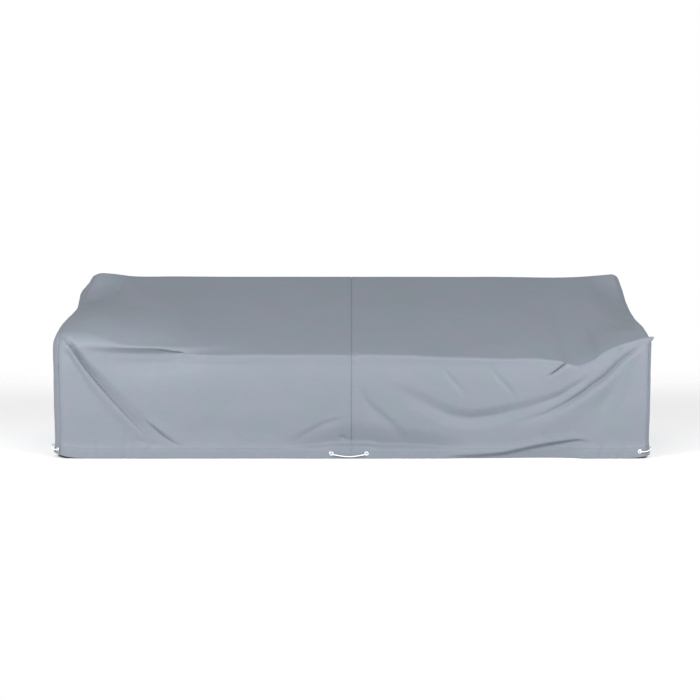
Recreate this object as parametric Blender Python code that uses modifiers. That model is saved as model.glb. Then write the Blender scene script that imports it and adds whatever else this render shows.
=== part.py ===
"""Outdoor sofa cover: a fitted cover of coated polyester, as it hangs over a long sofa.

Two body panels run from the front hem over the sloping top to the back hem and meet at a
middle seam. An end panel closes each side. The turned hem carries pressed eyelets, and a
white drawcord shows between each pair. Metres, +Z up, front towards -Y, hem on z = 0.
"""

import math

import bpy
import numpy as np
from mathutils import Matrix, Vector

# ---------------------------------------------------------------- driving dimensions

LENGTH = 2.466           # between the inner faces of the two end panels
DEPTH = 0.90             # between the front and back cloth
RIDGE_DEPTH = 0.865      # the ridge stands this far behind the front
CENTRE_X = 0.0           # middle of the whole cover, dog-ear and eyelets included
CENTRE_Y = 0.445

CLOTH = 0.002            # thickness of the coated cloth
HEM = 0.005              # the hem is turned over the drawcord
HEM_HEIGHT = 0.045
HEM_STEP = 0.006         # the hem thins to plain cloth over this height
SEAM_GAP = 0.0003        # between two panels at a seam

SEAM_FLAT = 0.06         # either side of the middle seam the cloth runs level
SEAM_TURN = 30.0         # degrees round a corner at which the end panel is sewn on
RIDGE_RADIUS = 0.014
SLOPE_SAG = 0.008        # the slope hangs this much below straight in the middle

EYELET_RADIUS = 0.0088
EYELET_HOLE = 0.0044
EYELET_BARREL = 0.0052
EYELET_RISE = 0.0013     # the flange stands this proud of its seat
EYELET_SEAT = 0.0012     # the flange is pressed this deep into the hem
EYELET_REACH = 0.0034    # the barrel goes this deep
FIT = 0.0003             # clearance round pressed and touching pieces
CORD = 0.0045            # drawcord diameter

# Where the slope meets the front: x, height of the line, radius of the bend.
FRONT_EDGE = (
    (-1.20, 0.508, 0.070),
    (-1.15, 0.508, 0.085),
    (-1.08, 0.497, 0.080),
    (-1.00, 0.482, 0.044),
    (-0.93, 0.470, 0.018),
    (-0.86, 0.466, 0.012),
    (-0.78, 0.463, 0.012),
    (-0.72, 0.455, 0.012),
    (-0.65, 0.440, 0.012),
    (-0.58, 0.432, 0.013),
    (-0.46, 0.430, 0.014),
    (0.00, 0.430, 0.014),
    (0.20, 0.429, 0.014),
    (0.38, 0.419, 0.014),
    (0.60, 0.414, 0.013),
    (0.80, 0.411, 0.012),
    (0.86, 0.403, 0.012),
    (0.90, 0.388, 0.011),
    (0.93, 0.384, 0.010),
    (0.96, 0.392, 0.010),
    (1.00, 0.413, 0.010),
    (1.06, 0.452, 0.010),
    (1.115, 0.474, 0.010),
    (1.20, 0.500, 0.012),
)

# The ridge: x, height.
RIDGE = (
    (-1.18, 0.722),
    (-1.09, 0.716),
    (-1.02, 0.7085),
    (-0.80, 0.706),
    (0.00, 0.7045),
    (0.60, 0.704),
    (1.10, 0.707),
    (1.15, 0.711),
    (1.20, 0.715),
)

# The top over each arm: share of the way back to the ridge, share of the rise.
ARM_TOP = {
    "left": ((0.0, 0.0), (0.18, 0.16), (0.38, 0.26), (0.64, 0.35), (0.85, 0.47), (0.93, 0.66), (1.0, 1.0)),
    "right": ((0.0, 0.0), (0.20, 0.16), (0.46, 0.26), (0.70, 0.40), (0.86, 0.57), (0.94, 0.74), (1.0, 1.0)),
}

# The slope turns into the arm's top between two distances from the middle: side, at the
# front from and to, at the ridge from and to.
ARM_BLEND = {
    "left": (0.70, 1.18, 1.02, 1.20),
    "right": (0.92, 1.20, 1.06, 1.21),
}

# The round of the vertical corners and of the ends' top edges.
CORNER = {"left": 0.060, "right": 0.030}

# The ridge's end is drawn in by this much, over the heights from and to.
SHOULDER = {"left": 0.040, "right": 0.018}
SHOULDER_RISE = (0.62, 0.73)

# The left arm's top swells up behind its front edge: x, greatest extra height.
ARM_SWELL = (
    (-1.20, 0.000),
    (-1.15, 0.012),
    (-1.07, 0.038),
    (-0.98, 0.046),
    (-0.90, 0.042),
    (-0.80, 0.035),
    (-0.70, 0.026),
    (-0.60, 0.018),
    (-0.48, 0.009),
    (-0.30, 0.000),
    (0.00, 0.000),
)

SWELL_SHAPE = 3.1        # makes the greatest value of the swell's curve 1

# How far the front leans out, by share of its height.
FRONT_LEAN = ((0.0, 0.008), (0.14, 0.010), (0.5, -0.001), (0.85, -0.005), (1.0, 0.0))

# The hem is gathered up off the floor at the front corners: distance along the hem from
# the corner (towards the middle is negative), height of the lower edge.
HEM_LIFT = {
    "left": ((-0.12, 0.0), (-0.04, 0.002), (0.0, 0.007), (0.05, 0.018), (0.12, 0.014), (0.35, 0.0)),
    "right": ((-0.10, 0.0), (-0.04, 0.002), (0.0, 0.007), (0.03, 0.013), (0.10, 0.010), (0.30, 0.0)),
}

# Folds of the body panels. path: (x, distance up the cloth from the floor). depth: how
# deep the valley is; below and above: its width on the right-hand and the left-hand side
# of the path; roll: height, distance and width of the ridge beside it, a negative
# distance on the right-hand side; power: 1 for a sharp crease, 2 for a soft trough;
# fade: length over which each end dies out.
FOLDS = {
    "arm crease left": dict(
        path=((-1.178, 0.500), (-1.098, 0.382), (-1.034, 0.301), (-0.959, 0.214),
              (-0.890, 0.139), (-0.855, 0.099), (-0.826, 0.024)),
        depth=0.016, below=0.010, above=0.034, roll=(0.008, -0.016, 0.014), power=1.2,
        fade=(0.03, 0.16)),
    "low crease left": dict(
        path=((-0.858, 0.162), (-0.805, 0.118), (-0.766, 0.086), (-0.730, 0.062), (-0.695, 0.046)),
        depth=0.007, below=0.010, above=0.010, roll=(0.005, 0.018, 0.014), power=1.4,
        fade=(0.04, 0.04)),
    "groove left": dict(
        path=((-1.110, 0.457), (-1.050, 0.449), (-0.960, 0.443), (-0.870, 0.440), (-0.800, 0.439),
              (-0.740, 0.441), (-0.690, 0.447), (-0.620, 0.463), (-0.550, 0.475)),
        depth=0.016, below=0.050, above=0.010, roll=(0.0, 0.0, 1.0), power=1.3,
        fade=(0.16, 0.18)),
    "swag right": dict(
        path=((1.195, 0.477), (1.149, 0.442), (1.107, 0.411), (1.069, 0.370), (1.028, 0.332),
              (0.988, 0.305), (0.957, 0.280), (0.907, 0.247), (0.867, 0.223), (0.827, 0.201),
              (0.786, 0.183), (0.735, 0.168), (0.644, 0.144)),
        depth=0.014, below=0.020, above=0.012, roll=(0.009, 0.030, 0.022), power=1.4,
        fade=(0.10, 0.22)),
    "upper swag right": dict(
        path=((1.007, 0.371), (0.957, 0.329), (0.908, 0.296), (0.858, 0.263), (0.797, 0.239),
              (0.735, 0.218), (0.661, 0.198), (0.580, 0.178), (0.500, 0.168), (0.430, 0.176),
              (0.370, 0.198), (0.300, 0.234), (0.220, 0.276), (0.138, 0.313)),
        depth=0.014, below=0.026, above=0.028, roll=(0.0, 0.0, 1.0), power=2.0,
        fade=(0.12, 0.26)),
    "behind the edge right": dict(
        path=((0.870, 0.408), (0.900, 0.402), (0.930, 0.400), (0.960, 0.408), (1.000, 0.429),
              (1.025, 0.449), (1.060, 0.468), (1.115, 0.490)),
        depth=0.009, below=0.008, above=0.026, roll=(0.0, 0.0, 1.0), power=1.3,
        fade=(0.08, 0.12)),
    "edge crease right": dict(
        path=((0.893, 0.412), (0.878, 0.393), (0.851, 0.373), (0.823, 0.355), (0.796, 0.340)),
        depth=0.009, below=0.010, above=0.009, roll=(0.005, 0.018, 0.012), power=1.3,
        fade=(0.012, 0.04)),
    "arm dip right": dict(
        path=((1.075, 0.860), (1.110, 0.800), (1.150, 0.700), (1.180, 0.620)),
        depth=0.006, below=0.028, above=0.028, roll=(0.0, 0.0, 1.0), power=2.0,
        fade=(0.08, 0.08)),
    "fan inner": dict(
        path=((1.087, 0.338), (1.040, 0.231), (0.985, 0.124)),
        depth=0.005, below=0.024, above=0.024, roll=(0.0, 0.0, 1.0), power=2.0,
        fade=(0.08, 0.06)),
    "fan outer": dict(
        path=((1.169, 0.406), (1.138, 0.280), (1.101, 0.124)),
        depth=0.006, below=0.022, above=0.022, roll=(0.0, 0.0, 1.0), power=2.0,
        fade=(0.10, 0.06)),
    "front wrinkle": dict(
        path=((0.554, 0.395), (0.615, 0.326), (0.661, 0.272), (0.673, 0.214)),
        depth=0.005, below=0.014, above=0.016, roll=(0.0, 0.0, 1.0), power=1.6,
        fade=(0.04, 0.05)),
    "short wrinkle": dict(
        path=((0.372, 0.387), (0.414, 0.329), (0.447, 0.292), (0.455, 0.255)),
        depth=0.005, below=0.014, above=0.016, roll=(0.0, 0.0, 1.0), power=1.6,
        fade=(0.04, 0.04)),
    "beside the seam": dict(
        path=((0.027, 0.321), (0.064, 0.239), (0.123, 0.181), (0.179, 0.128), (0.228, 0.062)),
        depth=0.007, below=0.030, above=0.018, roll=(0.0, 0.0, 1.0), power=2.0,
        fade=(0.12, 0.04)),
    "low band": dict(
        path=((-0.300, 0.058), (-0.212, 0.064), (-0.089, 0.068), (0.076, 0.068), (0.200, 0.068),
              (0.303, 0.062), (0.406, 0.056), (0.500, 0.046)),
        depth=0.016, below=0.016, above=0.034, roll=(0.0, 0.0, 1.0), power=1.6,
        fade=(0.10, 0.12)),
}

# Broad hollows and swells: x, distance up the cloth, half-width, half-height, depth
# (a swell is negative).
HOLLOWS = (
    (-0.560, 0.110, 0.200, 0.050, 0.004),
    (-0.300, 0.290, 0.340, 0.110, -0.004),
    (0.180, 0.320, 0.140, 0.070, -0.004),
    (1.160, 0.250, 0.060, 0.140, -0.004),
)

# Under the last fold of the right panel the cloth steps back: x, height of the step.
STEP_LINE = (
    (0.440, -0.004), (0.488, 0.002), (0.515, 0.011), (0.620, 0.021), (0.725, 0.045),
    (0.858, 0.072), (0.920, 0.080), (0.960, 0.076), (0.990, 0.066),
)
STEP_FROM = (0.43, 0.60)     # it grows between these, and dies out between the others
STEP_TO = (0.90, 1.00)
STEP_DEPTH = 0.018
STEP_WIDTH = 0.010

# Soft waves of the end panels: depth into the cover of the wave, its place from the front
# and its half-width.
END_WAVES = ((0.007, 0.24, 0.09), (-0.005, 0.42, 0.08), (0.006, 0.62, 0.10))

DOG_EAR = 0.023          # how far the dog-ear is drawn out of the right corner

# Columns of each body panel, from the middle outwards: end of the stretch, columns in it.
COLUMNS = {
    "left": ((0.012, 1), (0.062, 1), (0.104, 1), (0.62, 7), (1.165, 19)),
    "right": ((0.012, 1), (0.044, 1), (0.080, 1), (0.36, 4), (1.178, 21), (1.203, 1)),
}
CORNER_TURNS = (15.0, SEAM_TURN)

# Rows of a body panel. Shares of each stretch, after the two hem rows.
FRONT_ROWS = (0.0, 0.05, 0.11, 0.19, 0.28, 0.37, 0.46, 0.55, 0.64, 0.73, 0.82, 0.90, 0.95, 1.0)
BEND_ROWS = (0.5, 1.0)
SLOPE_ROWS = (0.025, 0.06, 0.13, 0.24, 0.38, 0.53, 0.68, 0.80, 0.90)
RIDGE_ROWS = (0.0, 0.5, 1.0)
PLUMB_FROM = 0.30        # from this share down the back hangs plumb
BACK_ROWS = (0.06, 0.16, PLUMB_FROM, 0.64, 1.0)

# Eyelets: the panel that each is pressed into, and its place. On a body panel: x and
# height. On an end panel: distance behind the front and height.
EYELETS = {
    "eyelet_front_left": ("cloth_left", -0.083, 0.0215),
    "eyelet_front_right": ("cloth_right", 0.062, 0.0215),
    "eyelet_corner_left_front": ("end_left", 0.027, 0.0350),
    "eyelet_corner_left_side": ("end_left", 0.095, 0.0450),
    "eyelet_corner_right_front": ("cloth_right", 1.1915, 0.0300),
    "eyelet_corner_right_side": ("end_right", 0.066, 0.0380),
}

# Stretches of drawcord that show, chosen by hand: x, distance behind the front, height.
# Each comes out of one eyelet's hole and goes into the other's.
CORDS = {
    "cord_front": (
        (-0.0822, 0.0066, 0.0203),
        (-0.0823, 0.0020, 0.0203),
        (-0.0809, -0.0023, 0.0200),
        (-0.0782, -0.0052, 0.0194),
        (-0.0746, -0.0069, 0.0187),
        (-0.0705, -0.0074, 0.0178),
        (-0.0628, -0.0070, 0.0163),
        (-0.0510, -0.0058, 0.0140),
        (-0.0375, -0.0044, 0.0117),
        (-0.0240, -0.0034, 0.0101),
        (-0.0105, -0.0030, 0.0095),
        (0.0030, -0.0034, 0.0101),
        (0.0165, -0.0044, 0.0117),
        (0.0300, -0.0058, 0.0140),
        (0.0418, -0.0070, 0.0163),
        (0.0495, -0.0074, 0.0178),
        (0.0536, -0.0069, 0.0187),
        (0.0572, -0.0052, 0.0194),
        (0.0599, -0.0023, 0.0200),
        (0.0613, 0.0017, 0.0203),
        (0.0612, 0.0063, 0.0203),
    ),
    "cord_corner_left": (
        (-1.2146, 0.0255, 0.0350),
        (-1.2182, 0.0222, 0.0351),
        (-1.2219, 0.0206, 0.0354),
        (-1.2261, 0.0205, 0.0360),
        (-1.2299, 0.0221, 0.0368),
        (-1.2333, 0.0250, 0.0377),
        (-1.2373, 0.0300, 0.0390),
        (-1.2410, 0.0362, 0.0406),
        (-1.2440, 0.0434, 0.0425),
        (-1.2461, 0.0513, 0.0446),
        (-1.2474, 0.0598, 0.0466),
        (-1.2480, 0.0685, 0.0480),
        (-1.2480, 0.0768, 0.0481),
        (-1.2475, 0.0829, 0.0473),
        (-1.2468, 0.0873, 0.0464),
        (-1.2450, 0.0911, 0.0458),
        (-1.2421, 0.0939, 0.0453),
        (-1.2384, 0.0953, 0.0450),
        (-1.2335, 0.0956, 0.0450),
    ),
    "cord_corner_right": (
        (1.1910, 0.0064, 0.0300),
        (1.1911, 0.0015, 0.0300),
        (1.1925, -0.0022, 0.0300),
        (1.1953, -0.0050, 0.0301),
        (1.1991, -0.0065, 0.0302),
        (1.2040, -0.0067, 0.0304),
        (1.2110, -0.0053, 0.0308),
        (1.2180, -0.0020, 0.0315),
        (1.2238, 0.0025, 0.0325),
        (1.2292, 0.0083, 0.0339),
        (1.2340, 0.0150, 0.0356),
        (1.2380, 0.0225, 0.0375),
        (1.2413, 0.0305, 0.0393),
        (1.2441, 0.0385, 0.0407),
        (1.2461, 0.0460, 0.0413),
        (1.2471, 0.0530, 0.0406),
        (1.2470, 0.0586, 0.0394),
        (1.2455, 0.0624, 0.0387),
        (1.2426, 0.0652, 0.0382),
        (1.2388, 0.0666, 0.0380),
        (1.2339, 0.0665, 0.0380),
    ),
}

# Where the hem of the front lies flat, round its eyelets: x, half-width. The flat part
# reaches this far above the hem.
CALM = ((-0.010, 0.110), (1.190, 0.045))
CALM_HEIGHT = 0.020


# ---------------------------------------------------------------- small helpers

def read_table(table, x, column=1):
    """Read a column of a table at x, eased from row to row."""
    stations = np.array([row[0] for row in table])
    values = np.array([row[column] for row in table])
    x = np.clip(np.asarray(x, float), stations[0], stations[-1])
    after = np.clip(np.searchsorted(stations, x, side="right"), 1, len(stations) - 1)
    before = after - 1
    share = (x - stations[before]) / (stations[after] - stations[before])
    slopes = np.gradient(values, stations)
    span = stations[after] - stations[before]
    share2, share3 = share**2, share**3
    return (values[before] * (2 * share3 - 3 * share2 + 1)
            + slopes[before] * span * (share3 - 2 * share2 + share)
            + values[after] * (3 * share2 - 2 * share3)
            + slopes[after] * span * (share3 - share2))


def smooth_step(low, high, value):
    """Go from 0 at low to 1 at high along an S."""
    share = np.clip((value - low) / (high - low), 0.0, 1.0)
    return share * share * (3.0 - 2.0 * share)


# ---------------------------------------------------------------- the draped shape

def slope_height(x, share, side):
    """Height of the top cloth at a share of the way from the front edge to the ridge."""
    edge = read_table(FRONT_EDGE, x)
    rise = read_table(RIDGE, x) - edge
    straight = share * rise - SLOPE_SAG * np.sin(math.pi * share)
    over_arm = rise * read_table(ARM_TOP[side], share)
    front_from, front_to, ridge_from, ridge_to = ARM_BLEND[side]
    start = front_from + (ridge_from - front_from) * share
    end = front_to + (ridge_to - front_to) * share
    arm = smooth_step(start, end, np.abs(x))
    return edge + straight * (1 - arm) + over_arm * arm


def arm_swell(x, share):
    """Extra height of the top over the left arm, by share of the way to the ridge."""
    ahead = 1 - share
    return read_table(ARM_SWELL, x) * SWELL_SHAPE * ahead**2 * (1 - ahead**3)


def section(x, side, rows):
    """Side view of the cover at each x: arrays of depth and height, one row each."""
    edge = read_table(FRONT_EDGE, x)
    radius = read_table(FRONT_EDGE, x, 2)
    ridge = read_table(RIDGE, x)
    near = 0.04
    rise = slope_height(x, near, side) + arm_swell(x, near) - edge
    rise_angle = np.arctan2(rise, near * RIDGE_DEPTH)
    bend = math.pi / 2 - rise_angle
    tangent = radius * np.tan(bend / 2)
    front_top = edge - tangent
    slope_from = tangent * np.cos(rise_angle) / RIDGE_DEPTH
    fall = np.arctan2(slope_height(x, 0.97, side) - slope_height(x, 0.92, side), 0.05 * RIDGE_DEPTH)
    slope_to = 1 - RIDGE_RADIUS * (1 + np.sin(fall)) / RIDGE_DEPTH
    back_top = ridge - RIDGE_RADIUS
    missing = back_top + RIDGE_RADIUS * np.cos(fall) - slope_height(x, slope_to, side)
    depths, heights = [], []
    for stretch, share in rows:
        if stretch == "hem":
            height = np.full_like(x, share)
            depth = np.full_like(x, FRONT_LEAN[0][1])
        elif stretch == "front":
            low = HEM_HEIGHT + HEM_STEP
            height = low + (front_top - low) * share
            depth = read_table(FRONT_LEAN, height / front_top)
        elif stretch == "bend":
            turn = bend * share
            depth = radius * (1 - np.cos(turn))
            height = front_top + radius * np.sin(turn)
        elif stretch == "slope":
            place = slope_from + (slope_to - slope_from) * share
            depth = place * RIDGE_DEPTH
            height = slope_height(x, place, side) + arm_swell(x, place) + missing * share**6
        elif stretch == "ridge":
            turn = (math.pi / 2 + fall) * share - fall
            depth = RIDGE_DEPTH - RIDGE_RADIUS * (1 - np.sin(turn))
            height = back_top + RIDGE_RADIUS * np.cos(turn)
        elif stretch == "back":
            low = HEM_HEIGHT + HEM_STEP
            height = back_top + (low - back_top) * share
            depth = RIDGE_DEPTH + (DEPTH - RIDGE_DEPTH) * smooth_step(0.0, PLUMB_FROM, share)
        else:
            height = np.full_like(x, share)
            depth = np.full_like(x, DEPTH)
        depths.append(depth + 0 * x)
        heights.append(height + 0 * x)
    return np.array(depths), np.array(heights)


def body_rows():
    """List the rows of a body panel from the front hem to the back hem."""
    rows = [("hem", 0.0), ("hem", HEM_HEIGHT)]
    rows += [("front", share) for share in FRONT_ROWS]
    rows += [("bend", share) for share in BEND_ROWS]
    rows += [("slope", share) for share in SLOPE_ROWS]
    rows += [("ridge", share) for share in RIDGE_ROWS]
    rows += [("back", share) for share in BACK_ROWS]
    rows += [("back hem", HEM_HEIGHT), ("back hem", 0.0)]
    return rows


def path_points(path, pieces=4):
    """Round a fold's path through its points."""
    points = [np.array(point) for point in path]
    ends = [2 * points[0] - points[1]] + points + [2 * points[-1] - points[-2]]
    rounded = []
    for index in range(1, len(ends) - 2):
        before, start, end, after = ends[index - 1:index + 3]
        for step in range(pieces):
            share = step / pieces
            rounded.append(0.5 * (2 * start + (end - before) * share
                                  + (2 * before - 5 * start + 4 * end - after) * share**2
                                  + (3 * start - before - 3 * end + after) * share**3))
    return np.array(rounded + [points[-1]])


def fold_relief(fold, x, up):
    """Height of one fold over the cloth at (x, up)."""
    points = path_points(fold["path"])
    nearest = np.full(x.shape, 9.0)
    signed = np.zeros(x.shape)
    along = np.zeros(x.shape)
    walked = 0.0
    for start, end in zip(points[:-1], points[1:]):
        step = end - start
        length = math.hypot(*step)
        share = np.clip(((x - start[0]) * step[0] + (up - start[1]) * step[1]) / length**2, 0, 1)
        off_x = x - start[0] - share * step[0]
        off_up = up - start[1] - share * step[1]
        distance = np.hypot(off_x, off_up)
        closer = distance < nearest
        left_hand = np.sign(step[0] * off_up - step[1] * off_x)
        nearest = np.where(closer, distance, nearest)
        signed = np.where(closer, distance * left_hand, signed)
        along = np.where(closer, walked + share * length, along)
        walked += length
    width = np.where(signed > 0, fold["above"], fold["below"])
    valley = np.exp(-(nearest / width) ** fold["power"])
    roll_height, roll_place, roll_width = fold["roll"]
    roll = np.exp(-((signed - roll_place) / roll_width) ** 2)
    fade_in, fade_out = fold["fade"]
    strength = smooth_step(0, fade_in, along + 0.15 * fade_in) * smooth_step(0, fade_out, walked - along)
    return strength * (roll_height * roll - fold["depth"] * valley)


def relief(x, up):
    """How far the body's cloth stands out of, or lies in from, its plain section."""
    height = np.zeros(x.shape)
    for fold in FOLDS.values():
        height += fold_relief(fold, x, up)
    for place, level, half_width, half_height, depth in HOLLOWS:
        spread = ((x - place) / half_width) ** 2 + ((up - level) / half_height) ** 2
        height -= depth * np.exp(-spread)
    step_height = read_table(STEP_LINE, x)
    within = smooth_step(*STEP_FROM, x) * (1 - smooth_step(*STEP_TO, x))
    under = smooth_step(-STEP_WIDTH, 0.0, step_height - up)
    height -= STEP_DEPTH * within * under
    return height


def calm(x, up, depth):
    """Where the folds are let through: not at the hem's eyelets, the ridge or the back."""
    strength = 1 - smooth_step(0.55, 0.75, depth / DEPTH)
    above_hem = np.maximum(up - HEM_HEIGHT, 0.0)
    for place, half_width in CALM:
        near = np.exp(-((x - place) / half_width) ** 8 - (above_hem / CALM_HEIGHT) ** 2)
        strength = strength * (1 - near)
    return strength


def shoulder_inset(side, points):
    """How far the cloth is drawn in from the plumb side at the ridge's end."""
    high = smooth_step(*SHOULDER_RISE, points[..., 2])
    outer = smooth_step(0.75, 1.0, np.abs(points[..., 0]) / (LENGTH / 2))
    return SHOULDER[side] * high * outer


def hem_lift(side, distance):
    """Height of the hem's lower edge, by distance along it from the front corner."""
    return read_table(HEM_LIFT[side], distance)


def body_grid(side):
    """Points of a body panel's inner face, as rows of columns from -X to +X."""
    sign = -1 if side == "left" else 1
    corner = CORNER[side]
    straight = [SEAM_GAP / 2]
    for end, count in COLUMNS[side]:
        start = straight[-1]
        straight += [start + (end - start) * (index + 1) / count for index in range(count)]
    straight = np.array(straight)
    rows = body_rows()
    depth, height = section(sign * straight, side, rows)
    last_depth, last_height = depth[:, -1], height[:, -1]
    run_depth, run_height = np.gradient(last_depth), np.gradient(last_height)
    run = np.hypot(run_depth, run_height)
    out_depth, out_height = -run_height / run, run_depth / run
    across = [sign * straight]
    for turn in np.radians(CORNER_TURNS):
        inset = corner * (1 - math.cos(turn))
        depth = np.column_stack([depth, last_depth - inset * out_depth])
        height = np.column_stack([height, last_height - inset * out_height])
        across.append([sign * (LENGTH / 2 - corner + corner * math.sin(turn))])
    x = np.tile(np.concatenate(across), (len(rows), 1))
    steps = np.hypot(np.diff(depth, axis=0), np.diff(height, axis=0))
    up = np.vstack([np.zeros(x.shape[1]), np.cumsum(steps, axis=0)])
    points = np.stack([x, depth, height], axis=-1)
    outwards = np.cross(np.gradient(points, axis=1) * sign, np.gradient(points, axis=0))
    outwards[up < HEM_HEIGHT + 2 * HEM_STEP, 2] = 0.0
    outwards /= np.linalg.norm(outwards, axis=-1, keepdims=True)
    flat_seam = x * smooth_step(0, SEAM_FLAT, np.abs(x))
    bulge = relief(flat_seam, up) * calm(x, up, depth)
    points = points + outwards * bulge[..., None]
    points[..., 0] -= sign * shoulder_inset(side, points)
    lift = hem_lift(side, np.abs(x[0]) - (LENGTH / 2 - corner))
    front = 1 - smooth_step(0.0, 0.20, up)
    points[..., 2] += lift * front * (depth < DEPTH / 2)
    if side == "right":
        ear_row = rows.index(("front", 1.0))
        points[ear_row, -1] += (DOG_EAR, -0.004, 0.012)
        points[ear_row + 1, -1] += (0.40 * DOG_EAR, -0.003, 0.003)
        points[ear_row, -2] += (0.20 * DOG_EAR, -0.002, 0.003)
    if side == "left":
        points = points[:, ::-1]
    return points


def seam_line(side):
    """Points where the end panel meets the body panel, from the front hem to the back."""
    grid = body_grid(side)
    return grid[:, 0] if side == "left" else grid[:, -1]


def edge_distance(outline, depth, height):
    """Distance in side view from a place to the cover's outline."""
    nearest = np.full(depth.shape, 9.0)
    for start, end in zip(outline[:-1], outline[1:]):
        step = end - start
        share = ((depth - start[0]) * step[0] + (height - start[1]) * step[1]) / (step @ step)
        share = np.clip(share, 0, 1)
        nearest = np.minimum(nearest, np.hypot(depth - start[0] - share * step[0],
                                               height - start[1] - share * step[1]))
    return nearest


def end_grid(side):
    """Points of an end panel's inner face, spanned between its four edges."""
    sign = -1 if side == "left" else 1
    corner = CORNER[side]
    seam = seam_line(side)
    rows = body_rows()
    turn_row = rows.index(("front", 1.0))
    crest_row = rows.index(("ridge", 0.5))
    plumb_row = rows.index(("back", PLUMB_FROM))
    front_edge = seam[:turn_row + 1]
    top_edge = seam[turn_row:crest_row + 1]
    upper = seam[crest_row:plumb_row][::-1]
    low, high = seam[-2], seam[plumb_row]
    steps = len(front_edge) - 2 - len(upper)
    plumb = [low + (high - low) * index / steps for index in range(steps + 1)]
    back_edge = np.array([seam[-1]] + plumb + list(upper))
    inset = corner * (1 - math.cos(math.radians(SEAM_TURN)))
    places = [0.0, (0.5 * corner - inset) / DEPTH, (1.1 * corner - inset) / DEPTH]
    middle = len(top_edge) - 2 * len(places)
    first, last = places[-1], 1 - places[-1]
    bottom_share = (places + [first + (last - first) * (index + 1) / (middle + 1) for index in range(middle)]
                    + [1 - place for place in reversed(places)])
    bottom_share = np.array(bottom_share)[:, None]
    bottom_edge = front_edge[0] + (back_edge[0] - front_edge[0]) * bottom_share
    run = (bottom_edge[:, 1] - front_edge[0][1])
    bottom_edge[:, 2] = hem_lift(side, corner * math.pi / 6 + run)
    bottom_edge[0], bottom_edge[-1] = front_edge[0], back_edge[0]
    columns, levels = len(top_edge), len(front_edge)
    s = np.linspace(0, 1, columns)[None, :, None]
    t = np.linspace(0, 1, levels)[:, None, None]
    ruled_up = (1 - t) * bottom_edge[None] + t * top_edge[None]
    ruled_back = (1 - s) * front_edge[:, None] + s * back_edge[:, None]
    corners = ((1 - t) * ((1 - s) * bottom_edge[0] + s * bottom_edge[-1])
               + t * ((1 - s) * top_edge[0] + s * top_edge[-1]))
    points = ruled_up + ruled_back - corners
    edge_x = np.array([sign * COLUMNS[side][-1][0]])
    outline = np.stack([row[:, 0] for row in section(edge_x, side, rows)], axis=-1)
    reach = np.clip(edge_distance(outline, points[..., 1], points[..., 2]), 0, corner)
    out = LENGTH / 2 - corner + np.sqrt(corner**2 - (corner - reach) ** 2)
    waves = np.zeros(out.shape)
    for depth, place, half_width in END_WAVES:
        waves += depth * np.exp(-((points[..., 1] - place) / half_width) ** 2)
    hang = 1 - smooth_step(0.30, 0.46, points[..., 2])
    out = out - shoulder_inset(side, np.stack([out, points[..., 1], points[..., 2]], axis=-1))
    inner = (slice(0, -1), slice(1, -1))
    points[inner + (0,)] = sign * (out - waves * hang)[inner]
    sewn = points.copy()
    sewn[:, 0], sewn[:, -1], sewn[-1] = points[:, 1], points[:, -2], points[-2]
    sewn[-1, 0], sewn[-1, -1] = points[-2, 1], points[-2, -2]
    inwards = sewn - points
    length = np.linalg.norm(inwards, axis=-1, keepdims=True)
    points = points + SEAM_GAP * inwards / np.maximum(length, SEAM_GAP)
    if side == "left":
        points = points[:, ::-1]
    return points


# ---------------------------------------------------------------- making the pieces

def start_scene():
    """Clear the scene and add the cover's two collections."""
    for item in list(bpy.data.objects):
        bpy.data.objects.remove(item, do_unlink=True)
    for name in ("sofa_cover", "cutters"):
        collection = bpy.data.collections.new(name)
        bpy.context.scene.collection.children.link(collection)


def make_material(name, colour, roughness, metallic=0.0):
    """Make a plain Principled material."""
    material = bpy.data.materials.new(name)
    material.use_nodes = True
    shader = material.node_tree.nodes["Principled BSDF"]
    shader.inputs["Base Color"].default_value = (*colour, 1.0)
    shader.inputs["Roughness"].default_value = roughness
    shader.inputs["Metallic"].default_value = metallic
    return material


def put_in(item, collection):
    """Move an object into one collection."""
    for owner in list(item.users_collection):
        owner.objects.unlink(item)
    bpy.data.collections[collection].objects.link(item)


def make_panel(name, points, material):
    """Drape a grid over the points, and give it the cloth's and the hem's thickness."""
    levels, columns = points.shape[:2]
    bpy.ops.mesh.primitive_grid_add(x_subdivisions=columns - 1, y_subdivisions=levels - 1, size=1)
    panel = bpy.context.active_object
    panel.name = name
    panel.data.name = name
    placed = points - np.array([CENTRE_X, CENTRE_Y, 0.0])
    panel.data.vertices.foreach_set("co", placed.reshape(-1).tolist())
    panel.data.update()
    hem = panel.vertex_groups.new(name="hem")
    in_hem = [index for index in range(levels * columns) if index // columns < 2]
    if name.startswith("cloth"):
        in_hem += [index for index in range(levels * columns) if index // columns >= levels - 2]
    hem.add(in_hem, 1.0, "REPLACE")
    solid = panel.modifiers.new("thickness", "SOLIDIFY")
    solid.thickness = HEM
    solid.offset = 1.0
    solid.vertex_group = "hem"
    solid.thickness_vertex_group = CLOTH / HEM
    panel.data.materials.append(material)
    put_in(panel, "sofa_cover")
    return panel


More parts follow.
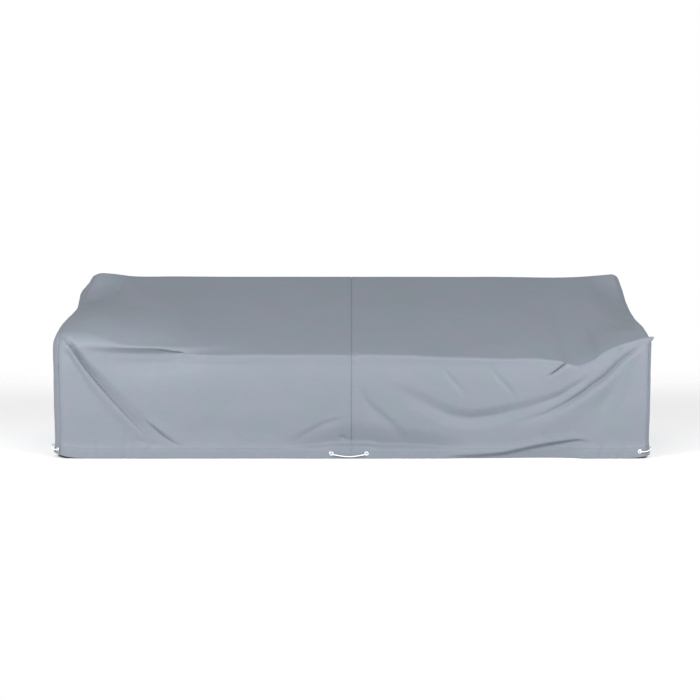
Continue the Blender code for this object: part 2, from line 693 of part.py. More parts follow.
def surface_at(points, wanted_x, wanted_depth, height):
    """Find the inner face's point and outward direction nearest to a place in the hem."""
    levels, columns = points.shape[:2]
    axis = 1 if wanted_x is None else 0
    wanted = wanted_depth if wanted_x is None else wanted_x
    low, high = points[0], points[1]
    line = low + (high - low) * ((height - low[:, 2]) / (high[:, 2] - low[:, 2]))[:, None]
    for column in range(columns - 1):
        first, second = line[column], line[column + 1]
        if (first[axis] - wanted) * (second[axis] - wanted) <= 0:
            share = (wanted - first[axis]) / (second[axis] - first[axis])
            place = first + (second - first) * share
            rise = high[column] - low[column]
            outwards = Vector(second - first).cross(Vector(rise)).normalized()
            return Vector(place - np.array([CENTRE_X, CENTRE_Y, 0.0])), outwards
    raise ValueError("no place in the hem there")


def frame_at(place, outwards):
    """Placement matrix with +Z along the cloth's outward direction."""
    turned = outwards.to_track_quat("Z", "Y").to_matrix().to_4x4()
    return Matrix.Translation(place) @ turned


def add_cutter(name, radius, low, high, placement):
    """Add a round cutter between two heights over the cloth's inner face."""
    bpy.ops.mesh.primitive_cylinder_add(vertices=24, radius=radius, depth=high - low)
    cutter = bpy.context.active_object
    cutter.name = name
    cutter.matrix_world = placement @ Matrix.Translation((0, 0, (low + high) / 2))
    cutter.hide_render = True
    cutter.display_type = "WIRE"
    put_in(cutter, "cutters")
    return cutter


def cut(panel, cutter):
    """Cut one piece out of a panel."""
    hole = panel.modifiers.new(cutter.name, "BOOLEAN")
    hole.operation = "DIFFERENCE"
    hole.object = cutter


def make_eyelet(name, placement, material):
    """Turn an eyelet: a rolled flange on the cloth and a barrel in it."""
    seat = HEM - EYELET_SEAT
    top = seat + EYELET_RISE
    foot = HEM - EYELET_REACH
    flange = EYELET_RADIUS
    roll = 0.0007
    profile = (
        (EYELET_HOLE, top - 0.0009),
        (EYELET_HOLE + 0.0002, top - 0.0004),
        (EYELET_BARREL + 0.0003, top + 0.0001),
        ((flange + EYELET_BARREL) / 2, top + 0.0003),
        (flange - roll, top - 0.0001),
        (flange, top - roll),
        (flange, seat),
        (EYELET_BARREL, seat),
        (EYELET_BARREL, foot),
        (EYELET_HOLE, foot),
    )
    mesh = bpy.data.meshes.new(name)
    corners = [(radius, 0.0, height) for radius, height in profile]
    edges = [(index, (index + 1) % len(corners)) for index in range(len(corners))]
    mesh.from_pydata(corners, edges, [])
    eyelet = bpy.data.objects.new(name, mesh)
    bpy.data.collections["sofa_cover"].objects.link(eyelet)
    eyelet.matrix_world = placement
    turn = eyelet.modifiers.new("turned", "SCREW")
    turn.axis = "Z"
    turn.steps = 20
    turn.render_steps = 20
    turn.use_merge_vertices = True
    turn.merge_threshold = 0.00001
    turn.use_normal_calculate = True
    mesh.materials.append(material)
    return eyelet


def make_cord(name, chosen, material):
    """Make a round cord, rounded through its chosen points."""
    points = path_points(chosen, pieces=2) - np.array([CENTRE_X, CENTRE_Y, 0.0])
    curve = bpy.data.curves.new(name, "CURVE")
    curve.dimensions = "3D"
    curve.bevel_depth = CORD / 2
    curve.bevel_resolution = 2
    curve.use_fill_caps = True
    spline = curve.splines.new("POLY")
    spline.points.add(len(points) - 1)
    for point, place in zip(spline.points, points):
        point.co = (*place, 1.0)
    cord = bpy.data.objects.new(name, curve)
    bpy.data.collections["sofa_cover"].objects.link(cord)
    curve.materials.append(material)
    return cord


def build():
    """Build the whole cover."""
    start_scene()
    cloth = make_material("coated_cloth", (0.37, 0.41, 0.46), 0.75)
    metal = make_material("eyelet_metal", (0.82, 0.83, 0.84), 0.35, 1.0)
    white = make_material("white_cord", (0.86, 0.87, 0.88), 0.8)
    grids = {
        "cloth_left": body_grid("left"),
        "cloth_right": body_grid("right"),
        "end_left": end_grid("left"),
        "end_right": end_grid("right"),
    }
    panels = {name: make_panel(name, points, cloth) for name, points in grids.items()}
    for name, (panel, place, height) in EYELETS.items():
        on_body = panel.startswith("cloth")
        spot = surface_at(grids[panel], place if on_body else None, None if on_body else place, height)
        placement = frame_at(*spot)
        seat_low = HEM - EYELET_SEAT - FIT
        hole_low = HEM - EYELET_REACH - FIT
        top = HEM + 0.004
        cut(panels[panel], add_cutter(name + "_seat", EYELET_RADIUS + FIT, seat_low, top, placement))
        cut(panels[panel], add_cutter(name + "_hole", EYELET_BARREL + FIT, hole_low, top, placement))
        make_eyelet(name, placement, metal)
    for name, chosen in CORDS.items():
        make_cord(name, chosen, white)


build()
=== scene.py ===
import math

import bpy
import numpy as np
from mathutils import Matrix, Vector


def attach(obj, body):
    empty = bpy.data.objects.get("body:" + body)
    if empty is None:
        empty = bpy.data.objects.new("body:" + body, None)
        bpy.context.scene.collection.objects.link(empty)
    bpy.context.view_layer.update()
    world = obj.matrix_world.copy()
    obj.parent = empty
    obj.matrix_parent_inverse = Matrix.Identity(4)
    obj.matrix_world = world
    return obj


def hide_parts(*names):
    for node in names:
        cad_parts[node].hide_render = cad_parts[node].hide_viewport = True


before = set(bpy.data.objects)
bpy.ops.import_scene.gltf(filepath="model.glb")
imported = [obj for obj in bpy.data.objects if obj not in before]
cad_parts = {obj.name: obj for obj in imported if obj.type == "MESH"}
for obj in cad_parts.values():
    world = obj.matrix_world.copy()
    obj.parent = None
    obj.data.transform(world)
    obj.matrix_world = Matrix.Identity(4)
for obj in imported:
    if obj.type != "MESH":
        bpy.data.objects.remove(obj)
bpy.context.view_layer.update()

# %% [markdown]
# # An outdoor sofa cover
#
# The cover is coated polyester, sewn from two body panels that meet at a middle seam and
# two end panels. Its folds come from where the cloth is held up and where it hangs slack.
# A white drawcord runs in the hem and shows between eyelets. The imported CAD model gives
# the size and the main folds. Here each panel is made again as a thin sheet on the same
# surface, fine enough for soft folds, puckers and stitches.

BACK_OF_FRONT = 0.445    # the origin lies this far behind the plane of the front
TO_ORIGIN = np.array([0.0, BACK_OF_FRONT, 0.0])
SIDES = {"left": -1, "right": 1}    # the sign of x

# %% [markdown]
# ## The camera
#
# The photograph was taken with a long lens, a little above the top of the cover and
# straight on to its front. The pitch was found from the height of the ridge and of the
# hem, and the lens from the width.

# %% Camera
PIXELS = 700.0
FOCAL_PIXELS = 1786.0
SENSOR = 36.0
CAMERA_PLACE = (-0.0062, -7.745, 1.15)
CAMERA_PITCH = 5.465

camera_data = bpy.data.cameras.new("photo_camera")
camera_data.sensor_width = SENSOR
camera_data.lens = SENSOR * FOCAL_PIXELS / PIXELS
camera = bpy.data.objects.new("photo_camera", camera_data)
bpy.context.scene.collection.objects.link(camera)
camera.location = CAMERA_PLACE
camera.rotation_euler = (math.radians(90.0 - CAMERA_PITCH), 0.0, 0.0)
bpy.context.scene.camera = camera
print("lens", round(camera_data.lens, 2), "mm")

# %% [markdown]
# ## The drawcord
#
# One white round cord runs all round inside the hem. It shows where it comes out of one
# eyelet, hangs in a shallow curve, and goes back in at the next: in the middle of the
# front and round each front corner. A curve with a round bevel would do, but a braid
# has to follow the cord, so each stretch is a tube in mesh code with its own UV map,
# in which u goes round and v counts diameters along it.

# %% Helpers for meshes
def rounded(points, pieces):
    """Round a line through its points."""
    points = [np.array(point, float) for point in points]
    ends = [2 * points[0] - points[1]] + points + [2 * points[-1] - points[-2]]
    found = []
    for index in range(1, len(ends) - 2):
        before, start, end, after = ends[index - 1:index + 3]
        for step in range(pieces):
            share = step / pieces
            square = (2 * before - 5 * start + 4 * end - after) * share**2
            cube = (3 * start - before - 3 * end + after) * share**3
            found.append(0.5 * (2 * start + (end - before) * share + square + cube))
    return np.array(found + [points[-1]])


def add_mesh(name, points, faces, uvs=None):
    """Make an object from points and faces; uvs has a pair for each corner."""
    mesh = bpy.data.meshes.new(name)
    mesh.from_pydata(np.asarray(points).tolist(), [], faces)
    if uvs is not None:
        layer = mesh.uv_layers.new(name="cloth")
        layer.data.foreach_set("uv", np.asarray(uvs, float).ravel())
    mesh.polygons.foreach_set("use_smooth", [True] * len(mesh.polygons))
    mesh.update()
    item = bpy.data.objects.new(name, mesh)
    bpy.context.scene.collection.objects.link(item)
    return item


def lengths_along(points):
    """Distance from the first point to each point of a line."""
    steps = np.linalg.norm(np.diff(points, axis=0), axis=1)
    return np.concatenate([[0.0], np.cumsum(steps)])


# %% Cord tubes
CORD = 0.0045
CORD_SIDES = 16
CORD_STEPS = 6           # rings to each step of the route
CORD_ROUTES = {
    "cord_front": (
        (-0.0822, 0.0066, 0.0203), (-0.0823, 0.0020, 0.0203), (-0.0809, -0.0023, 0.0200),
        (-0.0782, -0.0052, 0.0194), (-0.0746, -0.0069, 0.0187), (-0.0705, -0.0074, 0.0178),
        (-0.0628, -0.0070, 0.0163), (-0.0510, -0.0058, 0.0140), (-0.0375, -0.0044, 0.0117),
        (-0.0240, -0.0034, 0.0101), (-0.0105, -0.0030, 0.0095), (0.0030, -0.0034, 0.0101),
        (0.0165, -0.0044, 0.0117), (0.0300, -0.0058, 0.0140), (0.0418, -0.0070, 0.0163),
        (0.0495, -0.0074, 0.0178), (0.0536, -0.0069, 0.0187), (0.0572, -0.0052, 0.0194),
        (0.0599, -0.0023, 0.0200), (0.0613, 0.0017, 0.0203), (0.0612, 0.0063, 0.0203),
    ),
    "cord_corner_left": (
        (-1.2146, 0.0255, 0.0350), (-1.2182, 0.0222, 0.0351), (-1.2219, 0.0206, 0.0354),
        (-1.2261, 0.0205, 0.0360), (-1.2299, 0.0221, 0.0368), (-1.2333, 0.0250, 0.0377),
        (-1.2373, 0.0300, 0.0390), (-1.2410, 0.0362, 0.0406), (-1.2440, 0.0434, 0.0425),
        (-1.2461, 0.0513, 0.0446), (-1.2474, 0.0598, 0.0466), (-1.2480, 0.0685, 0.0480),
        (-1.2480, 0.0768, 0.0481), (-1.2475, 0.0829, 0.0473), (-1.2468, 0.0873, 0.0464),
        (-1.2450, 0.0911, 0.0458), (-1.2421, 0.0939, 0.0453), (-1.2384, 0.0953, 0.0450),
        (-1.2335, 0.0956, 0.0450),
    ),
    "cord_corner_right": (
        (1.1910, 0.0064, 0.0300), (1.1911, 0.0015, 0.0300), (1.1925, -0.0022, 0.0300),
        (1.1953, -0.0050, 0.0301), (1.1991, -0.0065, 0.0302), (1.2040, -0.0067, 0.0304),
        (1.2110, -0.0053, 0.0308), (1.2180, -0.0020, 0.0315), (1.2238, 0.0025, 0.0325),
        (1.2292, 0.0083, 0.0339), (1.2340, 0.0150, 0.0356), (1.2380, 0.0225, 0.0375),
        (1.2413, 0.0305, 0.0393), (1.2441, 0.0385, 0.0407), (1.2461, 0.0460, 0.0413),
        (1.2471, 0.0530, 0.0406), (1.2470, 0.0586, 0.0394), (1.2455, 0.0624, 0.0387),
        (1.2426, 0.0652, 0.0382), (1.2388, 0.0666, 0.0380), (1.2339, 0.0665, 0.0380),
    ),
}


def make_cord(name, route):
    """Sweep a circle along a cord's route, with its ends closed."""
    line = rounded(route, CORD_STEPS) - TO_ORIGIN
    along = np.gradient(line, axis=0)
    along /= np.linalg.norm(along, axis=1, keepdims=True)
    side = np.cross(along, (0.0, 0.0, 1.0))
    side /= np.linalg.norm(side, axis=1, keepdims=True)
    over = np.cross(side, along)
    turns = np.linspace(0, 2 * math.pi, CORD_SIDES, endpoint=False)
    rings = (line[:, None] + CORD / 2 * (side[:, None] * np.cos(turns)[None, :, None]
                                         + over[:, None] * np.sin(turns)[None, :, None]))
    walked = lengths_along(line)
    points = rings.reshape(-1, 3)
    faces, uvs = [], []
    for ring in range(len(line) - 1):
        for turn in range(CORD_SIDES):
            after = (turn + 1) % CORD_SIDES
            low, high = ring * CORD_SIDES, (ring + 1) * CORD_SIDES
            faces.append((low + turn, low + after, high + after, high + turn))
            left, right = turn / CORD_SIDES, (turn + 1) / CORD_SIDES
            start, end = walked[ring] / CORD, walked[ring + 1] / CORD
            uvs += [(left, start), (right, start), (right, end), (left, end)]
    last = (len(line) - 1) * CORD_SIDES
    faces.append(tuple(reversed(range(CORD_SIDES))))
    faces.append(tuple(range(last, last + CORD_SIDES)))
    uvs += [(0.5, 0.0)] * (2 * CORD_SIDES)
    cord = add_mesh(name + "_braid", points, faces, uvs)
    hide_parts(name)
    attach(cord, "root")
    return cord, line


CORDS = {name: make_cord(name, route) for name, route in CORD_ROUTES.items()}
for name, (cord, line) in CORDS.items():
    print(name, "is", round(float(lengths_along(line)[-1]), 4), "m long")

# %% [markdown]
# ## How the cloth hangs
#
# The cover's section changes along its length: in the middle it slopes from the front
# edge up to the ridge at the back, and over each arm it dips and then climbs. A cloth
# simulation over a guessed form would give folds of its own, not these, so the surface
# is worked out instead: a table gives the section at any distance along the cover, and
# the folds are laid on it one by one. Lengths are in metres, x runs from the middle seam to
# the right, and depth runs back from the plane of the front.

# %% Tables of the section
LENGTH = 2.466
DEPTH = 0.90
RIDGE_DEPTH = 0.865
CLOTH = 0.002                 # thickness of the cloth's solid
HEM = 0.005                   # and of its hem
HEM_HEIGHT = 0.045
HEM_STEP = 0.006              # height over which the hem thins to the cloth
SEAM_GAP = 0.0003
SEAM_FLAT = 0.06              # the folds end this far from the middle seam
SEAM_TURN = 30.0              # degrees round the corner to the end seam
RIDGE_RADIUS = 0.014
SLOPE_SAG = 0.008
PLUMB_FROM = 0.30             # share of the back's height in which it comes to plumb
CORNER = {"left": 0.060, "right": 0.030}          # radius of the upright corner
CORNER_FROM = {"left": 1.165, "right": 1.203}     # x where it starts to turn
SHOULDER = {"left": 0.040, "right": 0.018}
SHOULDER_RISE = (0.62, 0.73)  # heights between which the shoulder is drawn in
SHOULDER_SPAN = (0.75, 1.0)   # and shares of the half-length
EDGE_SHARE = 0.04             # the slope's angle at the edge is taken this far back
RIDGE_SHARES = (0.92, 0.97)   # and at the ridge between these
RIDGE_EASE = 6                # how late the slope is eased into the ridge
SWELL_SHAPE = 3.1             # brings the swell of the arm to about 1 at its greatest

# Where the slope meets the front: x, height of the line, radius of the bend.
FRONT_EDGE = (
    (-1.20, 0.508, 0.070), (-1.15, 0.508, 0.085), (-1.08, 0.497, 0.080),
    (-1.00, 0.482, 0.044), (-0.93, 0.470, 0.016), (-0.86, 0.466, 0.007),
    (-0.78, 0.463, 0.007), (-0.72, 0.455, 0.008), (-0.65, 0.440, 0.010),
    (-0.58, 0.432, 0.012), (-0.46, 0.430, 0.013), (0.00, 0.430, 0.014),
    (0.20, 0.429, 0.014), (0.38, 0.419, 0.014), (0.60, 0.414, 0.013),
    (0.80, 0.411, 0.012), (0.86, 0.403, 0.011), (0.90, 0.388, 0.009),
    (0.93, 0.384, 0.007), (0.96, 0.392, 0.006), (1.00, 0.413, 0.006),
    (1.025, 0.433, 0.006), (1.06, 0.452, 0.006), (1.115, 0.474, 0.008),
    (1.20, 0.500, 0.012),
)

# The ridge: x, height.
RIDGE = (
    (-1.18, 0.722), (-1.09, 0.716), (-1.02, 0.7085), (-0.80, 0.706), (0.00, 0.7045),
    (0.60, 0.704), (1.10, 0.707), (1.15, 0.711), (1.20, 0.715),
)

# The top over each arm: share of the way back to the ridge, share of the rise.
ARM_TOP = {
    "left": ((0.0, 0.0), (0.18, 0.16), (0.38, 0.26), (0.64, 0.35), (0.85, 0.47),
             (0.93, 0.66), (1.0, 1.0)),
    "right": ((0.0, 0.0), (0.20, 0.16), (0.46, 0.26), (0.70, 0.40), (0.86, 0.57),
              (0.94, 0.74), (1.0, 1.0)),
}

# The slope turns into the arm's top between two distances from the middle: at the
# front from and to, at the ridge from and to.
ARM_BLEND = {"left": (0.70, 1.18, 1.02, 1.20), "right": (0.92, 1.20, 1.06, 1.21)}

# The left arm's top swells up behind its front edge: x, greatest extra height.
ARM_SWELL = (
    (-1.20, 0.000), (-1.15, 0.012), (-1.07, 0.038), (-0.98, 0.046), (-0.90, 0.042),
    (-0.80, 0.035), (-0.70, 0.026), (-0.60, 0.018), (-0.48, 0.009), (-0.30, 0.000),
    (0.00, 0.000),
)

# How far the front leans out, by share of its height.
FRONT_LEAN = ((0.0, 0.008), (0.14, 0.010), (0.5, -0.001), (0.85, -0.005), (1.0, 0.0))

# The hem is gathered up off the floor at the front corners: distance along the hem from
# the corner, height of the lower edge.
HEM_LIFT = {
    "left": ((-0.12, 0.0), (-0.04, 0.002), (0.0, 0.007), (0.05, 0.018), (0.12, 0.014),
             (0.35, 0.0)),
    "right": ((-0.10, 0.0), (-0.04, 0.002), (0.0, 0.007), (0.03, 0.013), (0.10, 0.010),
              (0.30, 0.0)),
}


# %% Reading the tables
def read_table(table, x, column=1):
    """Read a column of a table at x, eased from row to row."""
    stations = np.array([row[0] for row in table])
    values = np.array([row[column] for row in table])
    x = np.clip(np.asarray(x, float), stations[0], stations[-1])
    after = np.clip(np.searchsorted(stations, x, side="right"), 1, len(stations) - 1)
    before = after - 1
    span = stations[after] - stations[before]
    share = (x - stations[before]) / span
    slopes = np.gradient(values, stations)
    share2, share3 = share**2, share**3
    return (values[before] * (2 * share3 - 3 * share2 + 1)
            + slopes[before] * span * (share3 - 2 * share2 + share)
            + values[after] * (3 * share2 - 2 * share3)
            + slopes[after] * span * (share3 - share2))


def smooth_step(low, high, value):
    """Go from 0 at low to 1 at high along an S."""
    share = np.clip((value - low) / (high - low), 0.0, 1.0)
    return share * share * (3.0 - 2.0 * share)


print("ridge in the middle", round(float(read_table(RIDGE, 0.0)), 4), "m")


# %% The section at any distance along the cover
def slope_height(x, share, side):
    """Height of the top cloth at a share of the way from the front edge to the ridge."""
    edge = read_table(FRONT_EDGE, x)
    rise = read_table(RIDGE, x) - edge
    straight = share * rise - SLOPE_SAG * np.sin(math.pi * share)
    over_arm = rise * read_table(ARM_TOP[side], share)
    front_from, front_to, ridge_from, ridge_to = ARM_BLEND[side]
    start = front_from + (ridge_from - front_from) * share
    end = front_to + (ridge_to - front_to) * share
    arm = smooth_step(start, end, np.abs(x))
    return edge + straight * (1 - arm) + over_arm * arm


def arm_swell(x, share):
    """Extra height of the top over the left arm, by share of the way to the ridge."""
    ahead = 1 - share
    return read_table(ARM_SWELL, x) * SWELL_SHAPE * ahead**2 * (1 - ahead**3)


def section_turns(x, side):
    """Turn and foot of the bend at the front edge, the slope's ends, its fall at the ridge."""
    edge = read_table(FRONT_EDGE, x)
    rise = slope_height(x, EDGE_SHARE, side) + arm_swell(x, EDGE_SHARE) - edge
    rise_angle = np.arctan2(rise, EDGE_SHARE * RIDGE_DEPTH)
    bend = math.pi / 2 - rise_angle
    tangent = read_table(FRONT_EDGE, x, 2) * np.tan(bend / 2)
    slope_from = tangent * np.cos(rise_angle) / RIDGE_DEPTH
    before, after = RIDGE_SHARES
    drop = slope_height(x, after, side) - slope_height(x, before, side)
    fall = np.arctan2(drop, (after - before) * RIDGE_DEPTH)
    slope_to = 1 - RIDGE_RADIUS * (1 + np.sin(fall)) / RIDGE_DEPTH
    return bend, edge - tangent, slope_from, slope_to, fall


# %% The whole section
def section(x, side, rows):
    """Side view of the cover at each x: arrays of depth and height, one row each."""
    bend, front_top, slope_from, slope_to, fall = section_turns(x, side)
    radius = read_table(FRONT_EDGE, x, 2)
    back_top = read_table(RIDGE, x) - RIDGE_RADIUS
    missing = back_top + RIDGE_RADIUS * np.cos(fall) - slope_height(x, slope_to, side)
    low = HEM_HEIGHT + HEM_STEP
    depths, heights = [], []
    for stretch, share in rows:
        if stretch == "hem":
            height, depth = share, FRONT_LEAN[0][1]
        elif stretch == "front":
            height = low + (front_top - low) * share
            depth = read_table(FRONT_LEAN, height / front_top)
        elif stretch == "bend":
            turn = bend * share
            depth = radius * (1 - np.cos(turn))
            height = front_top + radius * np.sin(turn)
        elif stretch == "slope":
            place = slope_from + (slope_to - slope_from) * share
            depth = place * RIDGE_DEPTH
            height = slope_height(x, place, side) + missing * share**RIDGE_EASE
            height = height + arm_swell(x, place)
        elif stretch == "ridge":
            turn = (math.pi / 2 + fall) * share - fall
            depth = RIDGE_DEPTH - RIDGE_RADIUS * (1 - np.sin(turn))
            height = back_top + RIDGE_RADIUS * np.cos(turn)
        elif stretch == "back":
            height = back_top + (low - back_top) * share
            depth = RIDGE_DEPTH + (DEPTH - RIDGE_DEPTH) * smooth_step(0.0, PLUMB_FROM, share)
        else:
            height, depth = share, DEPTH
        depths.append(depth + 0 * x)
        heights.append(height + 0 * x)
    return np.array(depths), np.array(heights)


# %% [markdown]
# ## The folds
#
# A fold is a line drawn on the cloth with a valley along it, steep on one side and slow
# on the other, and often a roll of slack beside it. Each is given by its path, measured
# as x and the distance up the cloth from the floor, and by how deep and how wide it is.
# That puts every crease where the photograph has it, which no simulation would do.

# %% Table of the folds
# A soft trough, as a profile: distance over its half-width, height over its depth.
SOFT = ((-2.4, 0.0), (-1.5, -0.10), (-0.8, -0.53), (0.0, -1.0), (0.8, -0.53), (1.5, -0.10),
        (2.4, 0.0))

# The crease from the left arm's corner: the lower cloth rises to a narrow roll, drops into
# the crease, and rises again slowly. Distance across it, height, both in metres.
ARM_CREASE = ((-0.062, 0.0), (-0.050, 0.0005), (-0.032, 0.0045), (-0.020, 0.0090),
              (-0.013, 0.0105), (-0.007, 0.0090), (-0.002, 0.002), (0.001, -0.009),
              (0.004, -0.0135), (0.010, -0.0125), (0.030, -0.0065), (0.046, -0.0020),
              (0.053, -0.0003), (0.062, 0.0))

# The groove under the left end of the edge: the cloth of the top hangs over it.
GROOVE = ((-0.180, 0.0), (-0.150, -0.0010), (-0.100, -0.0065), (-0.064, -0.0155),
          (-0.048, -0.0200), (-0.026, -0.0218), (-0.017, -0.0225), (-0.011, -0.0200),
          (-0.003, -0.0130), (0.005, -0.0058), (0.011, -0.0010), (0.016, 0.0008),
          (0.026, 0.0006), (0.040, 0.0))

# The swag from the right corner: a sharp valley with a bright rolled edge below it.
SWAG = ((-0.060, 0.0), (-0.045, 0.0015), (-0.030, 0.0015), (-0.018, -0.001),
        (-0.010, -0.005), (-0.004, -0.0100), (0.0, -0.0125), (0.004, -0.009),
        (0.010, -0.001), (0.016, 0.0045), (0.022, 0.0072), (0.030, 0.0080),
        (0.045, 0.0055), (0.065, 0.0018), (0.080, 0.0))

# A short sharp crease with a lip on its left-hand side.
PINCH = ((-0.012, 0.0), (-0.005, -0.002), (-0.001, -0.008), (0.001, -0.009),
         (0.004, -0.003), (0.009, 0.004), (0.016, 0.006), (0.030, 0.004), (0.050, 0.001),
         (0.060, 0.0))

# The valley behind the right end of the edge, with the edge standing up on its right.
BEHIND = ((-0.012, 0.0), (-0.005, 0.0012), (-0.001, -0.001), (0.003, -0.008), (0.006, -0.010),
          (0.014, -0.0085), (0.026, -0.005), (0.045, -0.002), (0.060, 0.0))

# Over the hem the cloth falls in, and comes out again sharply at the hem.
LOW_BAND = ((-0.024, 0.0), (-0.013, -0.008), (-0.005, -0.0165), (0.0, -0.0180),
            (0.006, -0.0165), (0.030, -0.0085), (0.052, -0.0016), (0.064, 0.0))

# The last fold of the right panel laps over the cloth under it, which is set back.
STEP = ((-0.120, -0.022), (-0.060, -0.0205), (-0.020, -0.0155), (-0.006, -0.0140),
        (-0.001, -0.010), (0.003, 0.000), (0.008, 0.003), (0.020, 0.002), (0.040, 0.0))

# Under the rounded front edge the cloth falls in a little, to a faint line.
EDGE_BAND = ((-0.110, 0.0), (-0.060, -0.0012), (-0.020, -0.0026), (-0.004, -0.0034),
             (0.0, -0.0036), (0.004, -0.0031), (0.020, -0.0012), (0.036, 0.0))

